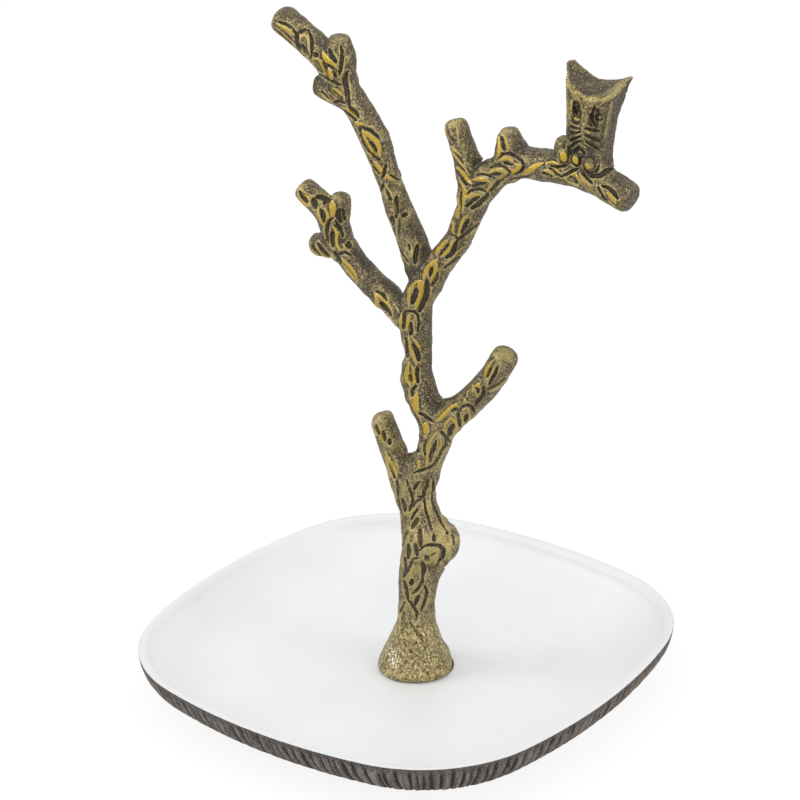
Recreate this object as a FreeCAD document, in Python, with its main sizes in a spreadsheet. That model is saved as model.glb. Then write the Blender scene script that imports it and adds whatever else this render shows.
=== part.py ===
import FreeCAD, Part
import math
import os
import Sketcher

# A ring tree: a cast tree of bare limbs with one owl, screwed to the middle of an enamelled square dish.
# The origin lies on the table under the middle of the dish. +Z is up, +X runs along the flat of the tree
# towards the owl, and the tree and the owl face -Y. All sizes are in millimetres.

SIZES = (
    # the dish
    ("dish_width", 150.0),
    ("corner_radius", 44.4),
    ("side_bulge_radius", 174.9),
    ("dish_depth", 16.0),
    ("wall_inset", 24.0),
    ("rim_width", 3.0),
    ("hollow_run", 26.0),
    ("hollow_depth", 12.0),
    ("enamel_thickness", 0.8),
    ("enamel_edge_thickness", 0.3),
    ("middle_inset", 31.0),
    # what the dish stands on
    ("pad_height", 1.5),
    ("corner_pad_radius", 7.0),
    ("corner_pad_reach", 36.0),
    ("centre_pad_radius", 13.0),
    # what fixes the tree
    ("tree_offset", 3.1),
    ("thread_radius", 2.5),
    ("screw_head_radius", 4.6),
    ("screw_head_land", 0.3),
    ("screw_length", 16.0),
    ("socket_radius", 1.73),
    ("socket_depth", 1.4),
    ("hole_clearance", 0.25),
    ("tapping_spare", 1.5),
    ("gasket_radius", 12.0),
    ("gasket_thickness", 0.5),
    ("gasket_shift_right", 0.65),
    ("gasket_shift_back", 0.7),
    # the tree and its owl
    ("tree_height", 205.0),
    ("owl_height", 31.6),
    ("owl_depth", 7.8),
    ("owl_bevel", 0.9),
)

# Steps of the dish wall's quarter ellipse, from the rim to the flat
WALL_FLATS = 4

LIMB_SIDES = 10
KNOB_SIDES = 8
DISC_SIDES = 24

# Stations along each limb: across, up and radius, as shares of the tree's height from the foot's centre.
# The first is the whole line from the foot through the trunk to the end of the limb that carries the owl.
LIMB_SHARES = {
    "stem": (
        (0.000, 0.000, 0.0585),
        (0.000, 0.007, 0.0572),
        (0.000, 0.021, 0.0505),
        (0.000, 0.042, 0.0400),
        (0.003, 0.077, 0.0285),
        (0.004, 0.111, 0.0270),
        (0.009, 0.155, 0.0303),
        (0.017, 0.205, 0.0300),
        (0.015, 0.256, 0.0300),
        (0.008, 0.298, 0.0275),
        (0.021, 0.342, 0.0265),
        (0.046, 0.385, 0.0225),
        (0.038, 0.420, 0.0240),
        (0.021, 0.452, 0.0245),
        (0.013, 0.487, 0.0222),
        (0.015, 0.525, 0.0210),
        (0.013, 0.562, 0.0235),
        (0.016, 0.600, 0.0235),
        (0.034, 0.629, 0.0230),
        (0.057, 0.664, 0.0195),
        (0.090, 0.705, 0.0185),
        (0.108, 0.744, 0.0195),
        (0.122, 0.779, 0.0225),
        (0.153, 0.816, 0.0225),
        (0.195, 0.840, 0.0215),
        (0.239, 0.843, 0.0220),
        (0.286, 0.845, 0.0215),
        (0.326, 0.838, 0.0215),
        (0.351, 0.829, 0.0215),
        (0.377, 0.820, 0.0218),
    ),
    "right_low_limb": (
        (0.036, 0.375, 0.0230),
        (0.052, 0.408, 0.0245),
        (0.074, 0.433, 0.0225),
        (0.103, 0.459, 0.0205),
        (0.129, 0.487, 0.0200),
        (0.152, 0.517, 0.0192),
        (0.174, 0.555, 0.0190),
    ),
    "left_stub": (
        (0.003, 0.275, 0.0260),
        (-0.013, 0.312, 0.0215),
        (-0.028, 0.339, 0.0195),
        (-0.040, 0.365, 0.0185),
        (-0.056, 0.405, 0.0173),
    ),
    "left_middle_limb": (
        (0.018, 0.558, 0.0215),
        (-0.001, 0.577, 0.0225),
        (-0.030, 0.591, 0.0200),
        (-0.063, 0.608, 0.0200),
        (-0.093, 0.630, 0.0195),
        (-0.118, 0.655, 0.0205),
        (-0.131, 0.681, 0.0215),
        (-0.139, 0.702, 0.0210),
        (-0.159, 0.714, 0.0185),
        (-0.189, 0.732, 0.0182),
    ),
    "left_upper_limb": (
        (0.033, 0.636, 0.0215),
        (0.018, 0.668, 0.0220),
        (0.005, 0.700, 0.0205),
        (-0.012, 0.732, 0.0195),
        (-0.026, 0.766, 0.0170),
        (-0.040, 0.800, 0.0185),
        (-0.055, 0.833, 0.0210),
        (-0.076, 0.864, 0.0195),
        (-0.099, 0.890, 0.0195),
        (-0.118, 0.912, 0.0210),
        (-0.135, 0.935, 0.0215),
        (-0.165, 0.953, 0.0210),
        (-0.190, 0.967, 0.0210),
        (-0.220, 0.981, 0.0203),
    ),
    "upright_stub": (
        (0.114, 0.772, 0.0200),
        (0.113, 0.800, 0.0195),
        (0.108, 0.828, 0.0188),
        (0.097, 0.852, 0.0168),
        (0.087, 0.881, 0.0158),
    ),
    "thorn": (
        (0.181, 0.828, 0.0250),
        (0.182, 0.845, 0.0235),
        (0.180, 0.864, 0.0195),
        (0.176, 0.885, 0.0150),
    ),
    "knot": (
        (0.012, 0.225, 0.0390),
        (0.032, 0.222, 0.0410),
        (0.048, 0.219, 0.0370),
        (0.063, 0.218, 0.0305),
        (0.077, 0.218, 0.0205),
    ),
    "left_middle_bud": (
        (-0.127, 0.688, 0.0190),
        (-0.122, 0.710, 0.0180),
        (-0.114, 0.734, 0.0145),
    ),
    "left_middle_spur": (
        (-0.122, 0.660, 0.0170),
        (-0.146, 0.652, 0.0195),
        (-0.170, 0.644, 0.0165),
    ),
    "left_upper_bud": (
        (-0.110, 0.908, 0.0210),
        (-0.110, 0.940, 0.0225),
        (-0.111, 0.970, 0.0165),
    ),
    "left_upper_spur": (
        (-0.098, 0.882, 0.0190),
        (-0.124, 0.888, 0.0195),
        (-0.153, 0.893, 0.0168),
    ),
}
# A sawn end's rounded edge: how far back from the end in end radii, and the share of the end radius
SAWN_END_SHARES = ((0.50, 1.00), (0.14, 0.92), (0.00, 0.70))

# A lump's rings, from below to above: how high in its half heights, and how wide in its radii
KNOB_SHARES = ((-1.0, 0.50), (-0.7, 0.88), (0.0, 1.00), (0.7, 0.88), (1.0, 0.50))

# The owl, as shares of its height. It is drawn upright about the point where it stands on its limb.
OWL_SIDE_SHARES = (
    (0.270, 0.000),
    (0.215, 0.150),
    (0.186, 0.270),
    (0.182, 0.400),
    (0.197, 0.600),
    (0.226, 0.790),
    (0.252, 0.910),
    (0.298, 1.000),
)
# Across, back and up, then the radius and the half height of each lump or socket
EYE_SHARES = {"left": (-0.092, -0.130, 0.630), "right": (0.092, -0.130, 0.630)}
EYE_SIZE_SHARES = (0.058, 0.110)
TOE_SHARES = ((-0.172, -0.118, 0.205), (-0.048, -0.118, 0.205), (0.074, -0.118, 0.205))
TOE_SIZE_SHARES = (0.060, 0.070)
FOOT_LUMP_SHARES = (-0.230, -0.015, 0.215)
FOOT_LUMP_SIZE_SHARES = (0.098, 0.120)
SCOOP_RADIUS_SHARE = 0.392
SCOOP_LOW_SHARE = 0.870
SCOOP_TILT = 24
OWL_LEAN = 6
# Where it stands, as shares of the tree's height
OWL_PERCH_SHARES = (0.303, 0.834)

UP = FreeCAD.Vector(0, 0, 1)
BACKWARD = FreeCAD.Vector(0, 1, 0)

# A sketch's own origin point and axes, and the points of a line or an arc
ORIGIN = (-1, 1)
X_AXIS = -1
Y_AXIS = -2
START, END, CENTRE = range(1, 4)

document = FreeCAD.newDocument("ring_tree")
sheet = document.addObject("Spreadsheet::Sheet", "sizes")
for row, (alias, number) in enumerate(SIZES, start=1):
    sheet.set(f"A{row}", alias)
    sheet.set(f"B{row}", str(number))
    sheet.setAlias(f"B{row}", alias)
document.recompute()


def size(alias):
    return float(sheet.get(alias))


def value_of(expression):
    return float(sheet.evalExpression(expression))


def add(kind, name, **expressions):
    """A new object with properties bound to the sheet. Two underscores in a name stand for a dot."""
    item = document.addObject(kind, name)
    bind(item, **expressions)
    return item


def bind(item, **expressions):
    for name, expression in expressions.items():
        item.setExpression(name.replace("__", "."), expression)


def fuse(name, *shapes):
    result = document.addObject("Part::MultiFuse", name)
    result.Shapes = list(shapes)
    return result


def cut(name, base, tool):
    result = document.addObject("Part::Cut", name)
    result.Base = base
    result.Tool = tool
    return result


def facet_gain(sides):
    """How much wider than a circle a regular polygon's corners stand when both have the same area."""
    turn = 2 * math.pi / sides
    return math.sqrt(turn / math.sin(turn))


def ring(name, sides, radius, **places):
    """A regular polygon with the area of a circle of that radius, an expression."""
    polygon = add("Part::RegularPolygon", name, Circumradius=f"({radius}) * {facet_gain(sides)}", **places)
    polygon.Polygon = sides
    return polygon


def ruled_loft(name, rings):
    skin = document.addObject("Part::Loft", name)
    skin.Sections = rings
    skin.Solid = True
    skin.Ruled = True
    return skin


def disc(name, radius, height, **places):
    """A flat disc in short flats, of expressions for its radius and height."""
    prism = add("Part::Prism", name, Circumradius=f"({radius}) * {facet_gain(DISC_SIDES)}", Height=height, **places)
    prism.Polygon = DISC_SIDES
    return prism


def constrain(sketch, kind, *where):
    return sketch.addConstraint(Sketcher.Constraint(kind, *where))


def drive(sketch, expression, kind, *where):
    """A constraint whose value follows the sheet."""
    number = constrain(sketch, kind, *where, value_of(expression))
    sketch.setExpression(f"Constraints[{number}]", expression)


def new_sketch(body, name, plane):
    """An empty sketch on one of the body's own origin planes."""
    sketch = body.newObject("Sketcher::SketchObject", name)
    support = next(item for item in body.Origin.OriginFeatures if item.Role == plane)
    sketch.AttachmentSupport = [(support, "")]
    sketch.MapMode = "FlatFace"
    return sketch


def outline_sketch(body, name, inset):
    """The dish's outline: four bulging sides and four corners, all arcs that run into each other.

    The inset, an expression, moves the whole outline inwards: the centres stay and the radii shrink.
    """
    sketch = new_sketch(body, name, "XY_Plane")
    side_radius = f"sizes.side_bulge_radius - {inset}"
    corner_radius = f"sizes.corner_radius - {inset}"
    setback = "sizes.side_bulge_radius - sizes.dish_width / 2"
    side_size = value_of(side_radius)
    corner_size = value_of(corner_radius)
    behind = value_of(setback)
    corner_place = (math.sqrt(2 * (side_size - corner_size) ** 2 - behind ** 2) - behind) / 2
    swing = math.atan2(corner_place, corner_place + behind)
    quarter_turn = math.pi / 2
    for quarter in range(4):
        turn = quarter * quarter_turn
        along = FreeCAD.Vector(math.cos(turn), math.sin(turn), 0)
        across = FreeCAD.Vector(-along.y, along.x, 0)
        side_circle = Part.Circle(along * -behind, UP, side_size)
        corner_circle = Part.Circle((along + across) * corner_place, UP, corner_size)
        sketch.addGeometry(Part.ArcOfCircle(side_circle, turn - swing, turn + swing))
        sketch.addGeometry(Part.ArcOfCircle(corner_circle, turn + swing, turn + quarter_turn - swing))
    right, corner, back, back_corner, left, left_corner, front, front_corner = range(sketch.GeometryCount)
    arcs = (right, corner, back, back_corner, left, left_corner, front, front_corner)
    for arc, following in zip(arcs, arcs[1:] + arcs[:1]):
        constrain(sketch, "Tangent", arc, END, following, START)
    for side in (back, left, front):
        constrain(sketch, "Equal", right, side)
    for other_corner in (back_corner, left_corner, front_corner):
        constrain(sketch, "Equal", corner, other_corner)
    for side, axis in ((right, X_AXIS), (back, Y_AXIS), (left, X_AXIS), (front, Y_AXIS)):
        constrain(sketch, "PointOnObject", side, CENTRE, axis)
    drive(sketch, side_radius, "Radius", right)
    drive(sketch, corner_radius, "Radius", corner)
    drive(sketch, setback, "DistanceX", right, CENTRE, *ORIGIN)
    drive(sketch, setback, "DistanceY", back, CENTRE, *ORIGIN)
    drive(sketch, setback, "DistanceX", *ORIGIN, left, CENTRE)
    drive(sketch, setback, "DistanceY", *ORIGIN, front, CENTRE)
    return sketch


def section_sketch(body, name, inset, run, depth):
    """Half a bowl's section: a quarter of an ellipse in short flats, closed towards the middle.

    The inset, run and depth are expressions. The wall is upright at the rim and level at its foot.
    """
    sketch = new_sketch(body, name, "XZ_Plane")
    rim = f"sizes.dish_width / 2 - {inset}"
    inner = "sizes.dish_width / 2 - sizes.middle_inset"
    turns = [step * math.pi / 2 / WALL_FLATS for step in range(WALL_FLATS + 1)]
    places = [(f"{rim} - {run} * {1 - math.cos(turn)}", f"{depth} * {math.sin(turn)}") for turn in turns]
    places += [(inner, depth), (inner, "0")]
    corners = [FreeCAD.Vector(value_of(across), -value_of(drop), 0) for across, drop in places]
    for start, end in zip(corners, corners[1:] + corners[:1]):
        sketch.addGeometry(Part.LineSegment(start, end))
    for edge, (across, drop) in enumerate(places):
        constrain(sketch, "Coincident", edge, START, (edge - 1) % len(places), END)
        drive(sketch, across, "DistanceX", *ORIGIN, edge, START)
        if value_of(drop) > 0:
            drive(sketch, drop, "DistanceY", edge, START, *ORIGIN)
        else:
            constrain(sketch, "PointOnObject", edge, START, X_AXIS)
    return sketch


def bowl(name, top, inset, run, depth):
    """A filled bowl below its top plane: the wall's section swept round the outline, and the middle."""
    body = document.addObject("PartDesign::Body", name)
    rim_outline = outline_sketch(body, name + "_rim_outline", inset)
    section = section_sketch(body, name + "_section", inset, run, depth)
    document.recompute()
    wall = body.newObject("PartDesign::AdditivePipe", name + "_wall")
    wall.Profile = section
    wall.Spine = (rim_outline, [])
    middle_inset = f"({inset} + {run} + sizes.middle_inset) / 2"
    middle = body.newObject("PartDesign::Pad", name + "_middle")
    middle.Profile = outline_sketch(body, name + "_middle_outline", middle_inset)
    middle.Reversed = True
    bind(middle, Length=depth)
    bind(body, Placement__Base__z=top)
    return body


RIM_TOP = "sizes.pad_height + sizes.dish_depth"
CASTING_TOP = f"{RIM_TOP} - sizes.enamel_edge_thickness"
CASTING_DEPTH = "(sizes.dish_depth - sizes.enamel_edge_thickness)"
LINING_INSET = "(sizes.rim_width - sizes.enamel_thickness)"
LINING_RUN = "(sizes.hollow_run + sizes.enamel_thickness)"
LINING_DEPTH = "(sizes.hollow_depth + sizes.enamel_thickness - sizes.enamel_edge_thickness)"
FLOOR_TOP = f"{RIM_TOP} - sizes.hollow_depth"
FOOT_BOTTOM = f"{FLOOR_TOP} + sizes.gasket_thickness"
HOLE_RADIUS = "sizes.thread_radius + sizes.hole_clearance"
HEAD_CONE_HEIGHT = "sizes.screw_head_radius - sizes.thread_radius"


def screw_hole(name):
    """The countersunk hole up through the dish, wide enough to clear the screw's thread."""
    hole = add("Part::Cylinder", name + "_hole", Radius=HOLE_RADIUS, Height=f"{RIM_TOP}")
    sink = add(
        "Part::Cone", name + "_sink",
        Radius1="sizes.screw_head_radius",
        Radius2=HOLE_RADIUS,
        Height=f"{HEAD_CONE_HEIGHT} - sizes.hole_clearance",
        Placement__Base__z="sizes.pad_height + sizes.screw_head_land",
    )
    recess = add(
        "Part::Cylinder", name + "_recess",
        Radius="sizes.screw_head_radius + sizes.hole_clearance",
        Height="sizes.pad_height + sizes.screw_head_land",
    )
    tool = fuse(name, hole, sink, recess)
    bind(tool, Placement__Base__x="sizes.tree_offset")
    return tool


def dish_casting():
    """The cast dish: an outer bowl with the enamel's bowl taken out of it, and the screw's hole."""
    outer = bowl("outer_bowl", CASTING_TOP, "0", "sizes.wall_inset", CASTING_DEPTH)
    inner = bowl("inner_bowl", CASTING_TOP, LINING_INSET, LINING_RUN, LINING_DEPTH)
    shell = cut("dish_shell", outer, inner)
    return cut("dish_casting", shell, screw_hole("dish_screw_hole"))


def enamel_lining():
    """The enamel: an even coat in the hollow that thins out over the rim, with the tree's hole."""
    coat = bowl("coat_bowl", CASTING_TOP, LINING_INSET, LINING_RUN, LINING_DEPTH)
    lip_body = document.addObject("PartDesign::Body", "coat_lip")
    lip = lip_body.newObject("PartDesign::Pad", "coat_lip_pad")
    lip.Profile = outline_sketch(lip_body, "coat_lip_outline", "0")
    bind(lip, Length="sizes.enamel_edge_thickness")
    bind(lip_body, Placement__Base__z=CASTING_TOP)
    hollow = bowl("hollow_bowl", RIM_TOP, "sizes.rim_width", "sizes.hollow_run", "sizes.hollow_depth")
    hole = add(
        "Part::Cylinder", "coat_hole",
        Radius=HOLE_RADIUS,
        Height=RIM_TOP,
        Placement__Base__x="sizes.tree_offset",
    )
    skin = cut("coat_skin", fuse("coat_block", coat, lip_body), hollow)
    return cut("enamel_lining", skin, hole)


def foot_gasket():
    """The thin black washer under the foot. It sits a little off the foot's centre, so one edge shows."""
    washer = disc("gasket_disc", "sizes.gasket_radius", "sizes.gasket_thickness")
    hole = add(
        "Part::Cylinder", "gasket_hole",
        Radius=HOLE_RADIUS,
        Height="sizes.gasket_thickness",
        Placement__Base__x="-sizes.gasket_shift_right",
        Placement__Base__y="-sizes.gasket_shift_back",
    )
    gasket = cut("foot_gasket", washer, hole)
    bind(
        gasket,
        Placement__Base__x="sizes.tree_offset + sizes.gasket_shift_right",
        Placement__Base__y="sizes.gasket_shift_back",
        Placement__Base__z=FLOOR_TOP,
    )
    return gasket


def fixing_screw():
    """The countersunk socket screw, head down, that holds the tree on the dish."""
    land = disc("head_land", "sizes.screw_head_radius", "sizes.screw_head_land")
    cone = add(
        "Part::Cone", "head_cone",
        Radius1="sizes.screw_head_radius",
        Radius2="sizes.thread_radius",
        Height=HEAD_CONE_HEIGHT,
        Placement__Base__z="sizes.screw_head_land",
    )
    shank = disc("shank", "sizes.thread_radius", "sizes.screw_length")
    socket = add("Part::Prism", "socket", Circumradius="sizes.socket_radius", Height="sizes.socket_depth")
    screw = cut("fixing_screw", fuse("screw_blank", land, cone, shank), socket)
    bind(screw, Placement__Base__x="sizes.tree_offset", Placement__Base__z="sizes.pad_height")
    return screw


def felt_disc(name, radius, across="0", back="0"):
    return disc(name, radius, "sizes.pad_height", Placement__Base__x=across, Placement__Base__y=back)


def corner_felt_pads():
    """Four felt discs under the corners of the dish's flat, counted anticlockwise from the front right."""
    reach = "sizes.corner_pad_reach"
    corners = ((reach, "-" + reach), (reach, reach), ("-" + reach, reach), ("-" + reach, "-" + reach))
    return [
        felt_disc(f"corner_felt_pad_{number}", "sizes.corner_pad_radius", across, back)
        for number, (across, back) in enumerate(corners, start=1)
    ]


# The tree is drawn about its own foot: its origin is the middle of the foot's underside

def sawn_end(stations):
    """The stations with the last one drawn out into the rounded edge of a sawn end."""
    (last_x, last_z, radius), (before_x, before_z, _) = stations[-1], stations[-2]
    run = math.hypot(last_x - before_x, last_z - before_z)
    along_x = (last_x - before_x) / run
    along_z = (last_z - before_z) / run
    end = [
        (last_x - along_x * radius * back, last_z - along_z * radius * back, radius * width)
        for back, width in SAWN_END_SHARES
    ]
    return list(stations[:-1]) + end


def limb(name, stations):
    """A limb: one faceted skin through round sections, each square to the limb's line."""
    stations = sawn_end(stations)
    rings = []
    for index, (across, up, radius) in enumerate(stations):
        before = stations[max(index - 1, 0)]
        after = stations[min(index + 1, len(stations) - 1)]
        lean = math.degrees(math.atan2(after[0] - before[0], after[1] - before[1]))
        section = ring(
            f"{name}_ring_{index + 1}", LIMB_SIDES, f"sizes.tree_height * {radius}",
            Placement__Base__x=f"sizes.tree_height * {across}",
            Placement__Base__z=f"sizes.tree_height * {up}",
        )
        section.Placement.Rotation = FreeCAD.Rotation(BACKWARD, lean) * FreeCAD.Rotation(UP, 90)
        rings.append(section)
    return ruled_loft(name, rings)


def owl_outline(body):
    """The owl's front: a trunk that flares out to two ear tips. The hollow of its head is cut later."""
    sketch = new_sketch(body, "owl_outline", "XZ_Plane")
    right = [(across, up) for across, up in OWL_SIDE_SHARES]
    left = [(-across, up) for across, up in reversed(OWL_SIDE_SHARES)]
    shares = right + left
    height = size("owl_height")
    corners = [FreeCAD.Vector(across * height, up * height, 0) for across, up in shares]
    for start, end in zip(corners, corners[1:] + corners[:1]):
        sketch.addGeometry(Part.LineSegment(start, end))
    for edge, (across, up) in enumerate(shares):
        constrain(sketch, "Coincident", edge, START, (edge - 1) % len(shares), END)
        ends = (*ORIGIN, edge, START) if across > 0 else (edge, START, *ORIGIN)
        drive(sketch, f"sizes.owl_height * {abs(across)}", "DistanceX", *ends)
        if up > 0:
            drive(sketch, f"sizes.owl_height * {up}", "DistanceY", *ORIGIN, edge, START)
        else:
            constrain(sketch, "PointOnObject", edge, START, X_AXIS)
    return sketch


def owl_trunk():
    """The owl's body and head: the outline's thickness, with its long edges taken off."""
    body = document.addObject("PartDesign::Body", "owl_trunk")
    outline = owl_outline(body)
    document.recompute()
    block = body.newObject("PartDesign::Pad", "owl_block")
    block.Profile = outline
    block.SideType = "Symmetric"
    bind(block, Length="sizes.owl_depth")
    document.recompute()
    half = size("owl_depth") / 2
    long_edges = [
        f"Edge{number}"
        for number, edge in enumerate(block.Shape.Edges, start=1)
        if abs(abs(edge.CenterOfMass.y) - half) < half / 100 and abs(edge.tangentAt(edge.FirstParameter).z) > 0.5
    ]
    bevel = body.newObject("PartDesign::Chamfer", "owl_bevel")
    bevel.Base = (block, long_edges)
    bind(bevel, Size="sizes.owl_bevel")
    return body


def owl_knob(name, place_shares, radius_shares):
    """A rounded lump on the owl, as a short loft of faceted rings. Its sizes are shares of the owl's height."""
    across, back, up = place_shares
    wide, high = radius_shares
    rings = []
    for number, (rise, width) in enumerate(KNOB_SHARES, start=1):
        section = ring(
            f"{name}_ring_{number}", KNOB_SIDES, f"sizes.owl_height * {wide * width}",
            Placement__Base__x=f"sizes.owl_height * {across}",
            Placement__Base__y=f"sizes.owl_height * {back}",
            Placement__Base__z=f"sizes.owl_height * {up + high * rise}",
        )
        rings.append(section)
    return ruled_loft(name, rings)


def owl():
    """The owl: hollow-topped head, sunk eyes either side of the beak's ridge, round toes and a foot lump."""
    scoop = add(
        "Part::Cylinder", "head_scoop",
        Radius=f"sizes.owl_height * {SCOOP_RADIUS_SHARE}",
        Height="sizes.owl_height",
    )
    tilt = FreeCAD.Rotation(FreeCAD.Vector(1, 0, 0), 90 + SCOOP_TILT)
    scoop.Placement = FreeCAD.Placement(FreeCAD.Vector(), tilt)
    reach = math.cos(math.radians(SCOOP_TILT)) / 2
    rise = math.sin(math.radians(SCOOP_TILT)) / 2
    bind(
        scoop,
        Placement__Base__y=f"sizes.owl_height * {reach}",
        Placement__Base__z=f"sizes.owl_height * {SCOOP_LOW_SHARE + SCOOP_RADIUS_SHARE + rise}",
    )
    sockets = [
        owl_knob(f"{side}_eye_socket", place, EYE_SIZE_SHARES)
        for side, place in EYE_SHARES.items()
    ]
    head = cut("owl_head", owl_trunk(), fuse("owl_hollows", scoop, *sockets))
    toes = [
        owl_knob(f"toe_{number}", place, TOE_SIZE_SHARES)
        for number, place in enumerate(TOE_SHARES, start=1)
    ]
    lump = owl_knob("foot_lump", FOOT_LUMP_SHARES, FOOT_LUMP_SIZE_SHARES)
    figure = fuse("owl", head, *toes, lump)
    across, up = OWL_PERCH_SHARES
    figure.Placement.Rotation = FreeCAD.Rotation(BACKWARD, OWL_LEAN)
    bind(
        figure,
        Placement__Base__x=f"sizes.tree_height * {across}",
        Placement__Base__z=f"sizes.tree_height * {up}",
    )
    return figure


def tree_casting():
    """The whole tree as one casting: stem, limbs, stubs and owl, with the tapped hole in its foot."""
    limbs = [limb(name, stations) for name, stations in LIMB_SHARES.items()]
    grown = fuse("grown_tree", *limbs, owl())
    tapped_hole = add(
        "Part::Cylinder", "tapped_hole",
        Radius="sizes.thread_radius",
        Height=f"sizes.screw_length + sizes.pad_height - ({FOOT_BOTTOM}) + sizes.tapping_spare",
    )
    tree = cut("tree_casting", grown, tapped_hole)
    bind(tree, Placement__Base__x="sizes.tree_offset", Placement__Base__z=FOOT_BOTTOM)
    return tree


def check_document():
    """Stop if any object failed or any solid is missing or broken."""
    document.recompute()
    for item in document.Objects:
        if "Invalid" in item.State or "Error" in item.State:
            raise RuntimeError(f"{item.Name} failed: {item.State}")


def write_parts(parts):
    os.makedirs("parts", exist_ok=True)
    for part in parts:
        if part.Shape.isNull() or not part.Shape.isValid():
            raise RuntimeError(f"{part.Label} has no valid shape")
        part.Shape.exportStep(f"parts/{part.Label}.step")
        print(part.Label, len(part.Shape.Solids), "solid", round(part.Shape.Volume), "mm3")


parts = [
    dish_casting(),
    enamel_lining(),
    foot_gasket(),
    tree_casting(),
    fixing_screw(),
    felt_disc("centre_felt_disc", "sizes.centre_pad_radius"),
    *corner_felt_pads(),
]
check_document()
write_parts(parts)
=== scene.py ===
import bmesh
import bpy
import math
import numpy as np
from mathutils import Matrix, Vector, noise
from mathutils.bvhtree import BVHTree

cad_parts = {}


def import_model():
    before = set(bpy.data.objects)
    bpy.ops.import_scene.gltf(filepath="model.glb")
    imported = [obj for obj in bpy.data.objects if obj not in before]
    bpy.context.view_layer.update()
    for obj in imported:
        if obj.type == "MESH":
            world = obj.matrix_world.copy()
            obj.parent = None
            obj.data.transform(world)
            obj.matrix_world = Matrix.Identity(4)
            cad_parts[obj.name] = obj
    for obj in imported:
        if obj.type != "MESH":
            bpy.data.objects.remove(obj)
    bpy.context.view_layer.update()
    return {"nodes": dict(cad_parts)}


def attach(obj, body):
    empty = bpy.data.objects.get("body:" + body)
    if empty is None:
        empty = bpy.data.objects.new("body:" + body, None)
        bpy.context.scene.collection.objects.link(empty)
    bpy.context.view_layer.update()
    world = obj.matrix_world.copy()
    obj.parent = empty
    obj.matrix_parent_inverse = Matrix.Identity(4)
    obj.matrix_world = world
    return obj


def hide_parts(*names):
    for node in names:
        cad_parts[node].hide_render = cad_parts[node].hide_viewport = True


# A ring tree: a cast brass tree of carved limbs with an owl, on a square enamelled dish.
# Sizes here are in millimetres unless a name says otherwise; the scene itself is in metres.

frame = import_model()
NODES = frame["nodes"]
MM = 0.001

# ---- camera

TURN = math.radians(37.49)
PITCH = math.radians(23.59)
ROLL = math.radians(1.36)
FOCAL_PIXELS = 2683.0
PICTURE_MIDDLE = 400.0
EYE = np.array((0.44760, -0.58447, 0.41677))

LEVEL_RIGHT = np.array((math.cos(TURN), math.sin(TURN), 0.0))
LEVEL_UP = np.array((-math.sin(TURN) * math.sin(PITCH), math.cos(TURN) * math.sin(PITCH), math.cos(PITCH)))
FORWARD = np.array((-math.sin(TURN) * math.cos(PITCH), math.cos(TURN) * math.cos(PITCH), -math.sin(PITCH)))
RIGHT = math.cos(ROLL) * LEVEL_RIGHT - math.sin(ROLL) * LEVEL_UP
UP = math.sin(ROLL) * LEVEL_RIGHT + math.cos(ROLL) * LEVEL_UP


def placed(name, data):
    """A new object in the scene."""
    holder = bpy.data.objects.new(name, data)
    bpy.context.collection.objects.link(holder)
    return holder


def mesh_object(name, bm):
    """A new object in the scene that takes over a bmesh."""
    mesh = bpy.data.meshes.new(name)
    bm.to_mesh(mesh)
    bm.free()
    return placed(name, mesh)


def photo_camera():
    camera = bpy.data.cameras.new("camera")
    camera.sensor_width = 36.0
    camera.lens = 36.0 * FOCAL_PIXELS / (2 * PICTURE_MIDDLE)
    camera.clip_end = 20.0
    holder = placed("camera", camera)
    turned = Matrix((Vector(RIGHT), Vector(UP), Vector(-FORWARD))).transposed().to_4x4()
    holder.matrix_world = Matrix.Translation(Vector(EYE)) @ turned
    bpy.context.scene.camera = holder


# ---- materials

class Value:
    """A shader socket that Python's own operators build maths nodes from."""

    def __init__(self, paint, socket):
        self.paint = paint
        self.socket = socket

    def maths(self, kind, other, clamp=False):
        node = self.paint.node("ShaderNodeMath", {"operation": kind, "use_clamp": clamp}, {0: self, 1: other})
        return Value(self.paint, node.outputs[0])

    def __add__(self, other):
        return self.maths("ADD", other)

    def __mul__(self, other):
        return self.maths("MULTIPLY", other)

    def __sub__(self, other):
        return self.maths("SUBTRACT", other)

    def __rsub__(self, other):
        return (self * -1.0) + other

    __radd__, __rmul__ = __add__, __mul__

    def clamped(self):
        return self.maths("ADD", 0.0, clamp=True)

    def least(self, other):
        return self.maths("MINIMUM", other)

    def between(self, low, high):
        """0 at low and below, 1 at high and above, smooth between. Low may be above high."""
        kind = {"interpolation_type": "SMOOTHSTEP"}
        falls = float(low > high)
        low, high = sorted((low, high))
        limits = {"From Min": low, "From Max": high, "To Min": falls, "To Max": 1.0 - falls}
        node = self.paint.node("ShaderNodeMapRange", kind, {"Value": self, **limits})
        return Value(self.paint, node.outputs["Result"])


class NodeTree:
    """The nodes of a material or of the world."""

    def __init__(self, owner, output):
        owner.use_nodes = True
        self.tree = owner.node_tree
        self.end = self.tree.nodes[output].inputs["Surface"]

    def feed(self, socket, item):
        if isinstance(item, Value):
            item = item.socket
        if isinstance(item, bpy.types.NodeSocket):
            self.tree.links.new(item, socket)
        else:
            socket.default_value = item

    def node(self, kind, settings, inputs):
        node = self.tree.nodes.new(kind)
        for name, setting in settings.items():
            setattr(node, name, setting)
        for name, item in inputs.items():
            self.feed(node.inputs[name], item)
        return node

    def end_with(self, share, first, second):
        """Ends the tree with a mix of two shaders, of which share takes the second."""
        shaders = {0: share, 1: first.outputs[0], 2: second.outputs[0]}
        self.feed(self.end, self.node("ShaderNodeMixShader", {}, shaders).outputs[0])


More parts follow.
